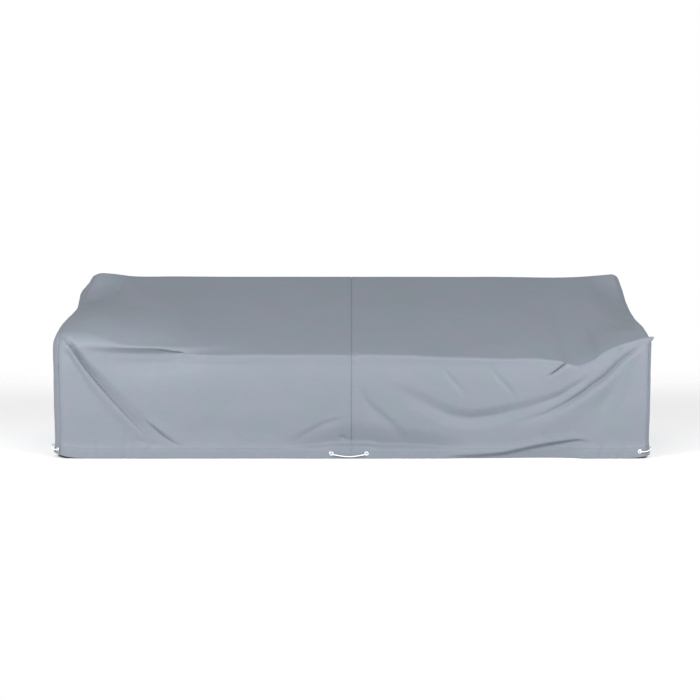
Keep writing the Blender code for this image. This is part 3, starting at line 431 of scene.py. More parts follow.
# Each fold: its path (x, distance up the cloth), profile, half-widths on the right-hand and
# the left-hand side, depth, and growth (share of the path, width factor, depth factor).
WHOLE = (1.0, 1.0)
RISE_AND_FALL = ((0.0, 1.0, 0.0), (0.3, 1.0, 1.0), (0.7, 1.0, 1.0), (1.0, 1.0, 0.0))
FOLDS = {
    "arm crease left": (
        ((-1.186, 0.508), (-1.175, 0.494), (-1.098, 0.382), (-1.034, 0.301), (-0.959, 0.214),
         (-0.890, 0.139), (-0.855, 0.099), (-0.826, 0.024)),
        ARM_CREASE, WHOLE, 1.0,
        ((0.0, 0.45, 0.0), (0.04, 0.45, 0.8), (0.12, 0.48, 1.1), (0.25, 0.60, 1.2),
         (0.4, 0.85, 1.1), (0.6, 1.05, 0.85), (0.8, 1.1, 0.6), (0.92, 1.1, 0.3),
         (1.0, 1.1, 0.0))),
    "low crease left": (
        ((-0.858, 0.162), (-0.805, 0.118), (-0.766, 0.086), (-0.730, 0.062), (-0.695, 0.046)),
        PINCH, WHOLE, 0.8, ((0.0, 0.7, 0.0), (0.3, 1.0, 1.0), (0.7, 1.0, 0.8), (1.0, 1.0, 0.0))),
    "under the low crease": (
        ((-0.912, 0.072), (-0.871, 0.074), (-0.830, 0.060), (-0.772, 0.056)),
        SOFT, (0.008, 0.012), 0.003, RISE_AND_FALL),
    "groove left": (
        ((-1.110, 0.466), (-1.050, 0.458), (-0.960, 0.453), (-0.870, 0.451), (-0.800, 0.451),
         (-0.740, 0.454), (-0.690, 0.462), (-0.620, 0.480), (-0.550, 0.492), (-0.460, 0.498)),
        GROOVE, WHOLE, 1.0,
        ((0.0, 0.8, 0.0), (0.1, 0.9, 0.45), (0.2, 1.0, 0.8), (0.3, 1.0, 1.0), (0.58, 1.0, 1.0),
         (0.67, 1.0, 0.7), (0.78, 1.0, 0.30), (0.9, 1.0, 0.15), (1.0, 1.0, 0.0))),
    "edge band": (
        ((-1.090, 0.392), (-0.800, 0.393), (-0.300, 0.393), (0.300, 0.393), (0.550, 0.388),
         (0.800, 0.384)),
        EDGE_BAND, WHOLE, 1.0,
        ((0.0, 1.0, 0.0), (0.08, 1.0, 1.6), (0.3, 1.0, 1.3), (0.45, 1.0, 0.7), (0.9, 1.0, 0.7),
         (1.0, 1.0, 0.0))),
    "swag right": (
        ((1.195, 0.477), (1.149, 0.442), (1.107, 0.411), (1.069, 0.370), (1.028, 0.332),
         (0.988, 0.305), (0.957, 0.280), (0.907, 0.247), (0.867, 0.223), (0.827, 0.201),
         (0.786, 0.183), (0.735, 0.168), (0.644, 0.144)),
        SWAG, WHOLE, 1.0,
        ((0.0, 0.5, 0.0), (0.08, 0.6, 0.5), (0.25, 0.9, 0.9), (0.4, 1.0, 1.0), (0.6, 1.1, 1.0),
         (0.78, 1.5, 0.6), (1.0, 2.0, 0.0))),
    "upper swag right": (
        ((1.007, 0.371), (0.957, 0.329), (0.908, 0.296), (0.858, 0.263), (0.797, 0.239),
         (0.735, 0.218), (0.661, 0.198), (0.580, 0.178), (0.500, 0.168), (0.430, 0.176),
         (0.370, 0.198), (0.300, 0.234), (0.220, 0.276), (0.138, 0.313)),
        SOFT, (0.020, 0.024), 0.012,
        ((0.0, 0.6, 0.0), (0.12, 0.7, 1.0), (0.35, 1.1, 1.0), (0.6, 1.3, 1.4), (0.8, 1.3, 0.9),
         (1.0, 1.0, 0.0))),
    "edge crease right": (
        ((0.893, 0.412), (0.878, 0.393), (0.851, 0.373), (0.823, 0.355), (0.796, 0.340)),
        PINCH, WHOLE, 1.0, ((0.0, 0.8, 0.2), (0.12, 1.0, 1.0), (0.6, 1.0, 0.9), (1.0, 1.2, 0.0))),
    "pleat right": (
        ((1.111, 0.468), (1.097, 0.436), (1.091, 0.408)),
        SOFT, (0.008, 0.008), 0.005, ((0.0, 1.0, 0.0), (0.3, 1.0, 1.0), (1.0, 1.0, 0.0))),
    "behind the edge right": (
        ((0.870, 0.402), (0.900, 0.394), (0.930, 0.391), (0.960, 0.399), (1.000, 0.420),
         (1.025, 0.440), (1.060, 0.459), (1.115, 0.482), (1.160, 0.496)),
        BEHIND, WHOLE, 1.0,
        ((0.0, 1.0, 0.0), (0.25, 1.0, 0.6), (0.45, 1.0, 1.0), (0.65, 0.9, 0.7), (0.85, 0.6, 0.4),
         (1.0, 0.5, 0.0))),
    "arm dip right": (
        ((1.075, 0.860), (1.110, 0.800), (1.150, 0.700), (1.180, 0.620)),
        SOFT, (0.022, 0.022), 0.007, RISE_AND_FALL),
    "front wrinkle": (
        ((0.554, 0.395), (0.615, 0.326), (0.661, 0.272), (0.673, 0.214)),
        SOFT, (0.007, 0.010), 0.005, RISE_AND_FALL),
    "short wrinkle": (
        ((0.372, 0.387), (0.414, 0.329), (0.447, 0.292), (0.455, 0.255)),
        SOFT, (0.007, 0.010), 0.005, RISE_AND_FALL),
    "beside the seam": (
        ((0.027, 0.321), (0.064, 0.239), (0.123, 0.181), (0.179, 0.128), (0.228, 0.062)),
        SOFT, (0.030, 0.014), 0.008, RISE_AND_FALL),
    "low band": (
        ((-0.300, 0.052), (-0.212, 0.058), (-0.089, 0.060), (0.076, 0.060), (0.200, 0.060),
         (0.303, 0.056), (0.406, 0.050), (0.500, 0.040)),
        LOW_BAND, (0.8, 1.0), 1.0,
        ((0.0, 0.8, 0.0), (0.2, 1.2, 0.9), (0.38, 1.6, 1.25), (0.55, 1.3, 1.2), (0.75, 1.1, 1.0),
         (1.0, 0.7, 0.0))),
    "step right": (
        ((0.385, 0.008), (0.440, 0.010), (0.515, 0.013), (0.620, 0.022), (0.725, 0.045),
         (0.858, 0.072), (0.920, 0.080), (0.960, 0.076), (0.990, 0.066)),
        STEP, WHOLE, 1.0,
        ((0.0, 1.0, 0.0), (0.12, 1.0, 0.6), (0.3, 1.0, 1.0), (0.8, 1.0, 1.0), (0.92, 1.0, 0.5),
         (1.0, 1.0, 0.0))),
    "mark at the seam's edge": (
        ((-0.004, 0.446), (0.006, 0.428), (0.002, 0.412)),
        SOFT, (0.006, 0.006), 0.004, RISE_AND_FALL),
    "pucker at the seam's foot": (
        ((-0.052, 0.096), (-0.028, 0.086), (-0.006, 0.078)),
        SOFT, (0.008, 0.006), 0.005, RISE_AND_FALL),
    "ridge dent left": (
        ((-1.058, 1.290), (-1.046, 1.235), (-1.052, 1.190)),
        SOFT, (0.012, 0.012), 0.006, RISE_AND_FALL),
    "second ridge dent left": (
        ((-0.948, 1.300), (-0.930, 1.262), (-0.921, 1.240)),
        SOFT, (0.010, 0.010), 0.004, RISE_AND_FALL),
    "slope wrinkle left": (
        ((-0.655, 0.700), (-0.600, 0.742), (-0.560, 0.762)),
        SOFT, (0.008, 0.010), 0.002, RISE_AND_FALL),
    "arc left of the seam": (
        ((-0.245, 0.062), (-0.204, 0.095), (-0.159, 0.121), (-0.105, 0.148), (-0.047, 0.163),
         (0.002, 0.169)),
        SOFT, (0.018, 0.010), 0.005, RISE_AND_FALL),
    "fan inner": (
        ((1.087, 0.338), (1.040, 0.231), (0.985, 0.124)),
        SOFT, (0.022, 0.022), 0.005, ((0.0, 0.5, 0.0), (0.4, 1.0, 1.0), (1.0, 1.5, 0.0))),
    "fan outer": (
        ((1.169, 0.406), (1.138, 0.280), (1.101, 0.124)),
        SOFT, (0.020, 0.020), 0.006, ((0.0, 0.5, 0.0), (0.4, 1.0, 1.0), (1.0, 1.5, 0.0))),
}

# Folds along which the grid is drawn closer, by how much and from how far.
SHARP = ("arm crease left", "groove left", "low crease left", "swag right", "edge crease right",
         "behind the edge right")
DRAW_SHARE = 0.55
DRAW_REACH = 0.014
DRAW_EASE = 0.3          # eases the drawing in at both ends of a fold

# Where the cloth laps over its crease: shift across the fold, centre and half-width of it.
LAPS = {
    "arm crease left": (0.003, -0.009, 0.007),
    "groove left": (-0.002, 0.012, 0.009),
    "edge crease right": (-0.004, 0.010, 0.008),
    "step right": (-0.006, 0.008, 0.007),
}

# Broad hollows and swells: x, distance up the cloth, half-width, half-height, depth.
HOLLOWS = (
    (-0.560, 0.110, 0.200, 0.050, 0.004),
    (-0.300, 0.290, 0.340, 0.110, -0.004),
    (0.180, 0.320, 0.140, 0.070, -0.004),
    (1.160, 0.250, 0.060, 0.140, -0.004),
)

# Small gathers that run up from the hem: x, height they reach, lean, depth.
GATHERS = (
    (-1.088, 0.120, -0.016, 0.0020), (-1.046, 0.150, -0.034, 0.0030),
    (-0.940, 0.140, 0.004, 0.0034), (-0.905, 0.080, 0.010, 0.0016),
    (-0.660, 0.070, 0.012, 0.0016), (-0.455, 0.060, -0.008, 0.0012),
    (0.168, 0.070, 0.014, 0.0040), (0.196, 0.060, 0.010, 0.0036),
    (0.232, 0.074, 0.020, 0.0042), (0.268, 0.062, 0.012, 0.0034),
    (0.318, 0.052, 0.012, 0.0038), (0.352, 0.048, 0.016, 0.0032),
    (0.520, 0.050, 0.010, 0.0016), (1.024, 0.120, 0.030, 0.0030),
    (1.066, 0.080, 0.020, 0.0020), (1.112, 0.150, 0.022, 0.0026),
)
GATHER_WIDTH = 0.0070
GATHER_FADE = 0.3        # share of its reach from which a gather fades

# Where the hem of the front lies flat, round its eyelets: x, half-width.
CALM = ((-0.010, 0.110), (1.190, 0.045))
CALM_HEIGHT = 0.014
print(len(FOLDS), "folds,", len(HOLLOWS), "broad hollows and", len(GATHERS), "gathers")


# %% Where a place lies beside a fold
FAR = 9.0                # further than any place is from any line
PATH_STEPS = 4


def beside(start, step, across, up):
    """Share along one step of a line, and the way from it to each place."""
    share = ((across - start[0]) * step[0] + (up - start[1]) * step[1]) / (step @ step)
    share = np.clip(share, 0, 1)
    return share, across - start[0] - share * step[0], up - start[1] - share * step[1]


def fold_place(path, x, up):
    """Signed distance across a fold, share along it, and the way from it."""
    points = rounded(path, PATH_STEPS)
    nearest = np.full(x.shape, FAR)
    signed, along = np.zeros(x.shape), np.zeros(x.shape)
    away_x, away_up = np.zeros(x.shape), np.zeros(x.shape)
    walked = 0.0
    for start, end in zip(points[:-1], points[1:]):
        step = end - start
        length = math.hypot(*step)
        share, off_x, off_up = beside(start, step, x, up)
        distance = np.hypot(off_x, off_up)
        closer = distance < nearest
        left_hand = np.sign(step[0] * off_up - step[1] * off_x)
        nearest = np.where(closer, distance, nearest)
        signed = np.where(closer, distance * left_hand, signed)
        along = np.where(closer, walked + share * length, along)
        away_x = np.where(closer, off_x, away_x)
        away_up = np.where(closer, off_up, away_up)
        walked += length
    return signed, along / walked, away_x, away_up


# %% Laying the folds on the cloth
def fold_relief(fold, x, up):
    """Height of one fold over the cloth at (x, up)."""
    path, profile, widths, deep, growth = fold
    signed, along, _, _ = fold_place(path, x, up)
    width = np.where(signed > 0, widths[1], widths[0]) * read_table(growth, along)
    strength = np.maximum(read_table(growth, along, 2), 0.0)
    return deep * strength * read_table(profile, signed / width)


def draw_in(x, up):
    """Steps that bring the grid's lines closer together along the sharp folds."""
    step_x, step_up = np.zeros(x.shape), np.zeros(x.shape)
    for name in SHARP:
        signed, along, away_x, away_up = fold_place(FOLDS[name][0], x, up)
        share = DRAW_SHARE * np.exp(-(signed / DRAW_REACH) ** 2)
        share = share * np.sin(math.pi * along) ** DRAW_EASE
        step_x -= share * away_x
        step_up -= share * away_up
    return step_x, step_up


def lap_over(x, up):
    """Steps that carry the lip of a fold over its crease."""
    step_x, step_up = np.zeros(x.shape), np.zeros(x.shape)
    for name, (reach, centre, half_width) in LAPS.items():
        path, growth = FOLDS[name][0], FOLDS[name][4]
        signed, along, away_x, away_up = fold_place(path, x, up)
        width = read_table(growth, along)
        share = np.exp(-((signed / width - centre) / half_width) ** 2) * width
        share = reach * share * np.maximum(read_table(growth, along, 2), 0.0)
        step_x += share * away_x / np.where(signed == 0, 1.0, signed)
        step_up += share * away_up / np.where(signed == 0, 1.0, signed)
    return step_x, step_up


def relief(x, up):
    """How far the body's cloth stands out of, or lies in from, its plain section."""
    height = np.zeros(x.shape)
    for fold in FOLDS.values():
        height += fold_relief(fold, x, up)
    for place, level, half_width, half_height, deep in HOLLOWS:
        off = ((x - place) / half_width) ** 2 + ((up - level) / half_height) ** 2
        height -= deep * np.exp(-off)
    for place, reach, lean, deep in GATHERS:
        off = (x - place - lean * up / reach) / GATHER_WIDTH
        height -= deep * np.exp(-off**2) * (1 - smooth_step(GATHER_FADE * reach, reach, up))
    return height


# %% Small marks of the cloth
# Slow waves all over the cloth: height, waves to a metre across and up, and phase.
WAVES = (
    (0.0020, 1.1, 1.0, 0.6), (0.0010, 2.6, 2.2, 2.1), (0.0005, 6.3, 5.1, 4.0),
    (0.00018, 15.0, 12.0, 1.1),
)
WANDER = 0.25            # how far a wave's crest wanders, as a share of the wave
WANDER_RATES = (5.3, 4.7)


def unevenness(x, up):
    """The slight waviness of cloth that hangs free."""
    height = np.zeros(x.shape)
    rate_x, rate_up = WANDER_RATES
    for deep, across, along, phase in WAVES:
        bend_x = x + WANDER / across * np.sin(rate_x * along * up + phase)
        bend_up = up + WANDER / along * np.sin(rate_up * across * x + 2 * phase)
        height += deep * (np.sin(2 * math.pi * across * bend_x + phase)
                          * np.sin(2 * math.pi * along * bend_up + 3 * phase))
    return height


# The middle seam: depth and half-width of its groove, height, reach and length of its
# puckers. They are uneven: their phase drifts, and they are higher in some places.
SEAM_GROOVE = (0.0036, 0.0023)
SEAM_PUCKER = (0.0006, 0.017, 0.030)
PUCKER_DRIFT = (1.4, 11.0)
PUCKER_SWELL = (0.6, 0.4, 23.0, 1.0)


def seam_marks(x, up):
    """The groove of the middle seam, and the puckers that run out from it."""
    deep, half_width = SEAM_GROOVE
    rise, reach, length = SEAM_PUCKER
    drift, drift_rate = PUCKER_DRIFT
    mean, swing, swing_rate, phase = PUCKER_SWELL
    beat = np.sin(2 * math.pi * up / length + drift * np.sin(drift_rate * up))
    beat = beat * (mean + swing * np.sin(swing_rate * up + phase))
    return rise * beat * np.exp(-(x / reach) ** 2) - deep * np.exp(-(x / half_width) ** 2)


# %% Where the folds and the waves are held back
FOLDS_END = (0.96, 1.00)    # shares of the way to the ridge


def in_front(depth):
    """Where the folds are let through: on the front and the top, short of the ridge."""
    return 1 - smooth_step(*FOLDS_END, depth / RIDGE_DEPTH)


def calm(x, up):
    """How much of the relief is left: none round the eyelets of the front hem."""
    strength = 1.0
    above_hem = np.maximum(up - HEM_HEIGHT, 0.0)
    for place, half_width in CALM:
        near = ((x - place) / half_width) ** 8 + (above_hem / CALM_HEIGHT) ** 2
        strength = strength * (1 - np.exp(-near))
    return strength


def shoulder_inset(side, points):
    """How far the cloth is drawn in from the plumb side at the ridge's end."""
    high = smooth_step(*SHOULDER_RISE, points[..., 2])
    outer = smooth_step(*SHOULDER_SPAN, np.abs(points[..., 0]) / (LENGTH / 2))
    return SHOULDER[side] * high * outer


x, up = np.meshgrid(np.linspace(-1.2, 1.2, 400), np.linspace(0.0, 0.9, 200))
print("deepest fold", round(float(relief(x, up).min()), 4), "m")

# %% [markdown]
# ## The body panels
#
# A panel is a grid of rows from the front hem over the top to the back hem. Rows and
# columns are close together where the folds are and far apart on the plain top, so that
# the piece stays light. The hem is a real one: the same cloth goes down the outside,
# turns under, and comes up again inside, which leaves the channel for the cord.


# %% Rows and columns
def stretches(low, *parts):
    """Evenly spaced values after low, given the end of each part and its count."""
    values = []
    for high, count in parts:
        values += list(np.linspace(low, high, count + 1)[1:])
        low = high
    return values


HEM_ROWS = [HEM / 2] + stretches(HEM / 2, (0.012, 3), (0.034, 10), (HEM_HEIGHT, 5))
ROWS = [("hem", height) for height in HEM_ROWS]
ROWS += [("front", share) for share in [0.0] + stretches(0.0, (1.0, 78))]
ROWS += [("bend", share) for share in stretches(0.0, (1.0, 12))]
ROWS += [("slope", share) for share in stretches(0.0, (0.05, 10), (0.16, 10), (0.96, 28))]
ROWS += [("ridge", share) for share in [0.0] + stretches(0.0, (1.0, 8))]
ROWS += [("back", share) for share in stretches(0.0, (PLUMB_FROM, 10), (1.0, 12))]
ROWS += [("back hem", height) for height in (HEM_HEIGHT, 0.035, 0.015, HEM / 2)]

# Distances from the middle: close together beside the seam, at the eyelets and in the folds.
COLUMNS = {
    "left": stretches(0.020, (0.071, 5), (0.095, 10), (0.71, 62), (1.165, 104)),
    "right": stretches(0.020, (0.050, 3), (0.074, 10), (0.34, 27), (0.80, 62), (1.180, 84),
                       (1.203, 9)),
}
SEAM_COLUMNS = [SEAM_GAP / 2, 0.0015, 0.003, 0.0045, 0.007, 0.010, 0.014, 0.020]
CORNER_TURNS = [6.0, 12.0, 18.0, 24.0, SEAM_TURN]
print(len(ROWS), "rows,", {side: len(columns) for side, columns in COLUMNS.items()}, "columns")


# %% The inner face of a body panel, before its folds
def hem_lift(side, distance):
    """Height of the hem's lower edge, by distance along it from the front corner."""
    return read_table(HEM_LIFT[side], distance)


def plain_panel(side):
    """The section carried from the middle seam out and round the corner; points and up."""
    sign, corner = SIDES[side], CORNER[side]
    straight = np.array(SEAM_COLUMNS + COLUMNS[side])
    depth, height = section(sign * straight, side, ROWS)
    last_depth, last_height = depth[:, -1], height[:, -1]
    run_depth, run_height = np.gradient(last_depth), np.gradient(last_height)
    run = np.hypot(run_depth, run_height)
    out_depth, out_height = -run_height / run, run_depth / run    # square to the section
    across = [sign * straight]
    for turn in np.radians(CORNER_TURNS):
        inset = corner * (1 - math.cos(turn))
        depth = np.column_stack([depth, last_depth - inset * out_depth])
        height = np.column_stack([height, last_height - inset * out_height])
        across.append([sign * (LENGTH / 2 - corner + corner * math.sin(turn))])
    x = np.tile(np.concatenate(across), (len(ROWS), 1))
    steps = np.hypot(np.diff(depth, axis=0), np.diff(height, axis=0))
    up = np.vstack([np.full(x.shape[1], HEM / 2), HEM / 2 + np.cumsum(steps, axis=0)])
    return np.stack([x, depth, height], axis=-1), up


# %% The inner face with its folds
FREE_OF_SEAM = (0.0, 0.03)         # the cloth may slide on itself between these places
FREE_OF_CORNER = (1.180, 1.200)
FREE_OF_HEM = (0.06, 0.09)
TAUT_RIDGE = (0.85, 0.09)          # how much of the waves the ridge takes away, and its reach
LIFT_FADES = 0.20                  # the lift of the hem is taken up below this
EAR_PULL = (0.023, -0.004, 0.012)  # how far the dog-ear's tip is drawn out
EAR_REACH = 0.011
EAR_COLUMNS = 12                   # columns beside the end seam that it takes in


def unit(vectors):
    """Vectors of one metre in the same directions."""
    return vectors / np.linalg.norm(vectors, axis=-1, keepdims=True)


def slide(points, along, steps):
    """Move points along the cloth, by steps across it and up it."""
    return points + along[0] * steps[0][..., None] + along[1] * steps[1][..., None]


def body_points(side):
    """Inner face of a body panel: rows of columns from the middle out, and (x, up)."""
    sign = SIDES[side]
    points, up = plain_panel(side)
    x, depth = points[..., 0], points[..., 1]
    outwards = np.cross(np.gradient(points, axis=1) * sign, np.gradient(points, axis=0))
    outwards[up < HEM_HEIGHT + 2 * HEM_STEP, 2] = 0.0
    outwards = unit(outwards)
    free = smooth_step(*FREE_OF_SEAM, np.abs(x)) * (1 - smooth_step(*FREE_OF_CORNER, np.abs(x)))
    free = free * smooth_step(*FREE_OF_HEM, up)
    along = (np.gradient(points, axis=1) / np.gradient(x, axis=1)[..., None],
             np.gradient(points, axis=0) / np.gradient(up, axis=0)[..., None])
    steps = [step * free for step in draw_in(x, up)]
    points = slide(points, along, steps)
    x, up = x + steps[0], up + steps[1]
    points = slide(points, along, [step * free for step in lap_over(x, up)])
    flat_seam = x * smooth_step(0, SEAM_FLAT, np.abs(x))
    taut, reach = TAUT_RIDGE
    waves = unevenness(x, up) * (1 - taut * np.exp(-((depth - RIDGE_DEPTH) / reach) ** 2))
    bulge = relief(flat_seam, up) * in_front(depth) + waves + seam_marks(x, up)
    points = points + outwards * (bulge * calm(x, up))[..., None]
    points[..., 0] -= sign * shoulder_inset(side, points)
    lift = hem_lift(side, np.abs(x[0]) - (LENGTH / 2 - CORNER[side]))
    points[..., 2] += lift * (1 - smooth_step(0.0, LIFT_FADES, up)) * (depth < DEPTH / 2)
    if side == "right":
        pull_out_ear(points)
    return points, x, up


def pull_out_ear(points):
    """Draw the small dog-ear out of the right panel's corner, where three seams meet."""
    tip = points[ROWS.index(("front", 1.0)), -1].copy()
    distance = np.linalg.norm(points - tip, axis=-1)
    near = np.exp(-(distance / EAR_REACH) ** 2)
    near[:, :-EAR_COLUMNS] = 0.0
    points += near[..., None] * np.array(EAR_PULL)


# %% Outer face, hem and thickness
SHEET = 0.0009                          # thickness of the sheet that is drawn
HEM_BLEND = (HEM_HEIGHT - 0.016, HEM_HEIGHT + 0.030)
HEM_INSIDE = (14, 10, 6, 3, 1, 0)       # rows of the inner face that the turned hem keeps
HEM_TURNS = (150.0, 120.0, 90.0, 60.0, 30.0)
TOPSTITCH = (0.0008, 0.0400, 0.0022)    # depth, height and half-width of the hem's stitch line
SEAT_DEPTH = 0.0012                     # an eyelet presses the hem in this deep
SEAT_REACH = (0.0092, 0.0140)           # and between these radii
SEAT_LAYER = 0.0035                     # cloth within this of the eyelet's top is its own
HOLE_REACH = 0.0062
EYELET_HOMES = {
    "cloth_left_sheet": ("eyelet_front_left",),
    "cloth_right_sheet": ("eyelet_front_right", "eyelet_corner_right_front"),
    "end_left_sheet": ("eyelet_corner_left_front", "eyelet_corner_left_side"),
    "end_right_sheet": ("eyelet_corner_right_side",),
}


def outer_face(points, up, flip, back_hem):
    """A panel's outer face and its normals: thicker at the hem, with the line of its stitches."""
    normals = unit(np.cross(np.gradient(points, axis=1), np.gradient(points, axis=0)) * flip)
    from_hem = np.minimum(up, up[-1:] - up + HEM) if back_hem else up
    in_hem = 1 - smooth_step(*HEM_BLEND, from_hem)
    level = normals.copy()
    level[..., 2] = 0.0
    normals = normals * (1 - in_hem[..., None]) + unit(level) * in_hem[..., None]
    deep, height, half_width = TOPSTITCH
    thickness = CLOTH + (HEM - CLOTH) * in_hem
    thickness = thickness - deep * np.exp(-((from_hem - height) / half_width) ** 2)
    return points + normals * thickness[..., None], normals


def turned_under(inner, outer):
    """Rows of a turned hem, from its inside edge down and round to the outer face."""
    rows = [inner[row] for row in HEM_INSIDE]
    middle = (inner[0] + outer[0]) / 2
    reach = (outer[0] - inner[0]) / 2
    for turn in np.radians(HEM_TURNS):
        row = middle + reach * math.cos(turn)
        row[:, 2] -= HEM / 2 * math.sin(turn)
        rows.append(row)
    return rows


# %% Seats and holes for the eyelets
def eyelet_seat(node):
    """Middle of an eyelet's top and the direction it faces, measured on its CAD node."""
    item = bpy.data.objects[node]
    corners = np.array([item.matrix_world @ vertex.co for vertex in item.data.vertices])
    centre = corners.mean(axis=0)
    _, _, axes = np.linalg.svd(corners - centre, full_matrices=False)
    outwards = axes[2] * np.sign(axes[2][:2] @ centre[:2])
    return centre + outwards * ((corners - centre) @ outwards).max(), outwards


def press_seats(outer, seats):
    """Press the cloth in under each eyelet's flange."""
    for place, outwards in seats:
        off = outer - place - TO_ORIGIN
        along = off @ outwards
        away = np.linalg.norm(off - along[..., None] * outwards, axis=-1)
        near = (1 - smooth_step(*SEAT_REACH, away)) * (np.abs(along) < SEAT_LAYER)
        outer = outer - near[..., None] * SEAT_DEPTH * outwards
    return outer


def clear_of_holes(centres, seats):
    """Mark the faces that no eyelet's hole takes away."""
    kept = np.full(len(centres), True)
    for place, outwards in seats:
        off = centres - place
        along = off @ outwards
        away = np.linalg.norm(off - along[:, None] * outwards, axis=1)
        kept &= (away > HOLE_REACH) | (np.abs(along) > SEAT_LAYER)
    return kept


# %% Making a panel
def sheet_faces(levels, columns, flip):
    """Quads of a grid of points, which face outwards."""
    corner = np.arange(levels * columns).reshape(levels, columns)
    quads = np.stack([corner[:-1, :-1], corner[:-1, 1:], corner[1:, 1:], corner[1:, :-1]], axis=-1)
    if flip < 0:
        quads = quads[..., ::-1]
    return quads.reshape(-1, 4)


def thicken(panel):
    """Give a sheet its thickness, inwards."""
    solid = panel.modifiers.new("thickness", "SOLIDIFY")
    solid.thickness = SHEET
    solid.offset = -1.0
    bpy.context.view_layer.objects.active = panel
    with bpy.context.temp_override(object=panel, active_object=panel):
        bpy.ops.object.modifier_apply(modifier=solid.name)


def make_panel(name, points, x, up, flip, back_hem):
    """Make a panel: a sheet on the outer face, with its hem turned under."""
    seats = [eyelet_seat(node) for node in EYELET_HOMES.get(name, ())]
    outer, normals = outer_face(points, up, flip, back_hem)
    outer = press_seats(outer, seats)
    front = turned_under(points, outer)
    back = turned_under(points[::-1], outer[::-1])[::-1] if back_hem else []
    rows = np.array(front + list(outer) + back)
    ups = [up[0] - HEM - run for run in np.linspace(HEM_HEIGHT, 0.0, len(front))]
    ups += list(up)
    ups += [up[-1] + HEM + run for run in np.linspace(0.0, HEM_HEIGHT, len(back))]
    across = np.vstack([np.tile(x[0], (len(front), 1)), x, np.tile(x[-1], (len(back), 1))])
    placed = rows.reshape(-1, 3) - TO_ORIGIN
    quads = sheet_faces(*rows.shape[:2], flip)
    quads = quads[clear_of_holes(placed[quads].mean(axis=1), seats)]
    uv = np.stack([across.ravel(), np.array(ups).ravel()], axis=-1)
    panel = add_mesh(name, placed, quads.tolist(), uv[quads.ravel()])
    thicken(panel)
    return panel, outer - TO_ORIGIN, normals


# %% Both body panels
PANELS, FACES, GRIDS = {}, {}, {}
for side, sign in SIDES.items():
    points, x, up = body_points(side)
    GRIDS[side] = points
    name = "cloth_" + side
    panel, outer, normals = make_panel(name + "_sheet", points, x, up, sign, True)
    PANELS[name] = panel
    FACES[name] = (outer, normals)
    print(panel.name, points.shape, len(panel.data.polygons), "faces,",
          round(float(up[-1, 5]), 3), "m from hem to hem")

# %% [markdown]
# ## The end panels
#
# Each end is one piece of cloth cut to the outline of the side and sewn to the body all
# round its front, top and back. Its grid is spanned between those four edges, so that
# the seam has no gap, and it bulges from the seam as cloth over a rounded corner does.

# %% The edges of an end panel, and the grid between them
CREST_ROW = ROWS.index(("ridge", 0.5))
TURN_ROW = ROWS.index(("front", 1.0))
PLUMB_ROW = ROWS.index(("back", PLUMB_FROM))
DENSE_COLUMNS = 30       # beside the front, where the eyelets are
DENSE_RUN = 0.115


def shares_of(line):
    """Share of its length at each point of a line."""
    walked = lengths_along(line)
    return walked / walked[-1]


def end_edges(side):
    """The front, top, back and bottom edge of an end panel, along the body's last column."""
    seam = GRIDS[side][:, -1]
    front = seam[:TURN_ROW + 1]
    top = seam[TURN_ROW:CREST_ROW + 1]
    upper = seam[CREST_ROW:PLUMB_ROW][::-1]
    shares = shares_of(front[:len(front) - len(upper)])[:, None]
    back = np.concatenate([seam[-1] + (seam[PLUMB_ROW] - seam[-1]) * shares, upper])
    near = DENSE_RUN / DEPTH
    dense = np.linspace(0, near, DENSE_COLUMNS)
    turns = np.linspace(0, math.pi, len(top) - DENSE_COLUMNS + 1)
    sparse = near + (1 - near) * (1 - np.cos(turns)) / 2
    bottom = front[0] + (back[0] - front[0]) * np.concatenate([dense, sparse[1:]])[:, None]
    run = bottom[:, 1] - front[0][1]
    bottom[:, 2] = HEM / 2 + hem_lift(side, CORNER[side] * math.radians(SEAM_TURN) + run)
    bottom[0], bottom[-1] = front[0], back[0]
    return front, top, back, bottom


def span_edges(front, top, back, bottom):
    """A grid spanned between four edges that share their corners."""
    s = np.linspace(0, 1, len(top))[None, :, None]
    t = shares_of(front)[:, None, None]
    ruled_up = (1 - t) * bottom[None] + t * top[None]
    ruled_back = (1 - s) * front[:, None] + s * back[:, None]
    corners = ((1 - t) * ((1 - s) * bottom[0] + s * bottom[-1])
               + t * ((1 - s) * top[0] + s * top[-1]))
    return ruled_up + ruled_back - corners


# %% The inner face of an end panel
# Upright waves in the lower part: height, distance from the front, half-width.
END_WAVES = ((0.007, 0.24, 0.09), (-0.005, 0.42, 0.08), (0.006, 0.62, 0.10))
END_WAVES_FADE = (0.30, 0.46)


def edge_distance(outline, depth, height):
    """Distance in side view from a place to the cover's outline."""
    nearest = np.full(depth.shape, FAR)
    for start, end in zip(outline[:-1], outline[1:]):
        _, off_depth, off_height = beside(start, end - start, depth, height)
        nearest = np.minimum(nearest, np.hypot(off_depth, off_height))
    return nearest


def end_points(side):
    """Inner face of an end panel, rows from the hem up, columns from front to back."""
    sign, corner = SIDES[side], CORNER[side]
    points = span_edges(*end_edges(side))
    depth, height = points[..., 1], points[..., 2]
    edge_x = np.array([sign * CORNER_FROM[side]])
    outline = np.stack([row[:, 0] for row in section(edge_x, side, ROWS)], axis=-1)
    reach = np.clip(edge_distance(outline, depth, height), 0, corner)
    out = LENGTH / 2 - corner + np.sqrt(corner**2 - (corner - reach) ** 2)
    out = out - shoulder_inset(side, np.stack([out, depth, height], axis=-1))
    waves = sum(deep * np.exp(-((depth - place) / half_width) ** 2)
                for deep, place, half_width in END_WAVES)
    waves = waves * (1 - smooth_step(*END_WAVES_FADE, height)) - unevenness(depth, height)
    points[:-1, 1:-1, 0] = (sign * (out - waves))[:-1, 1:-1]
    return points


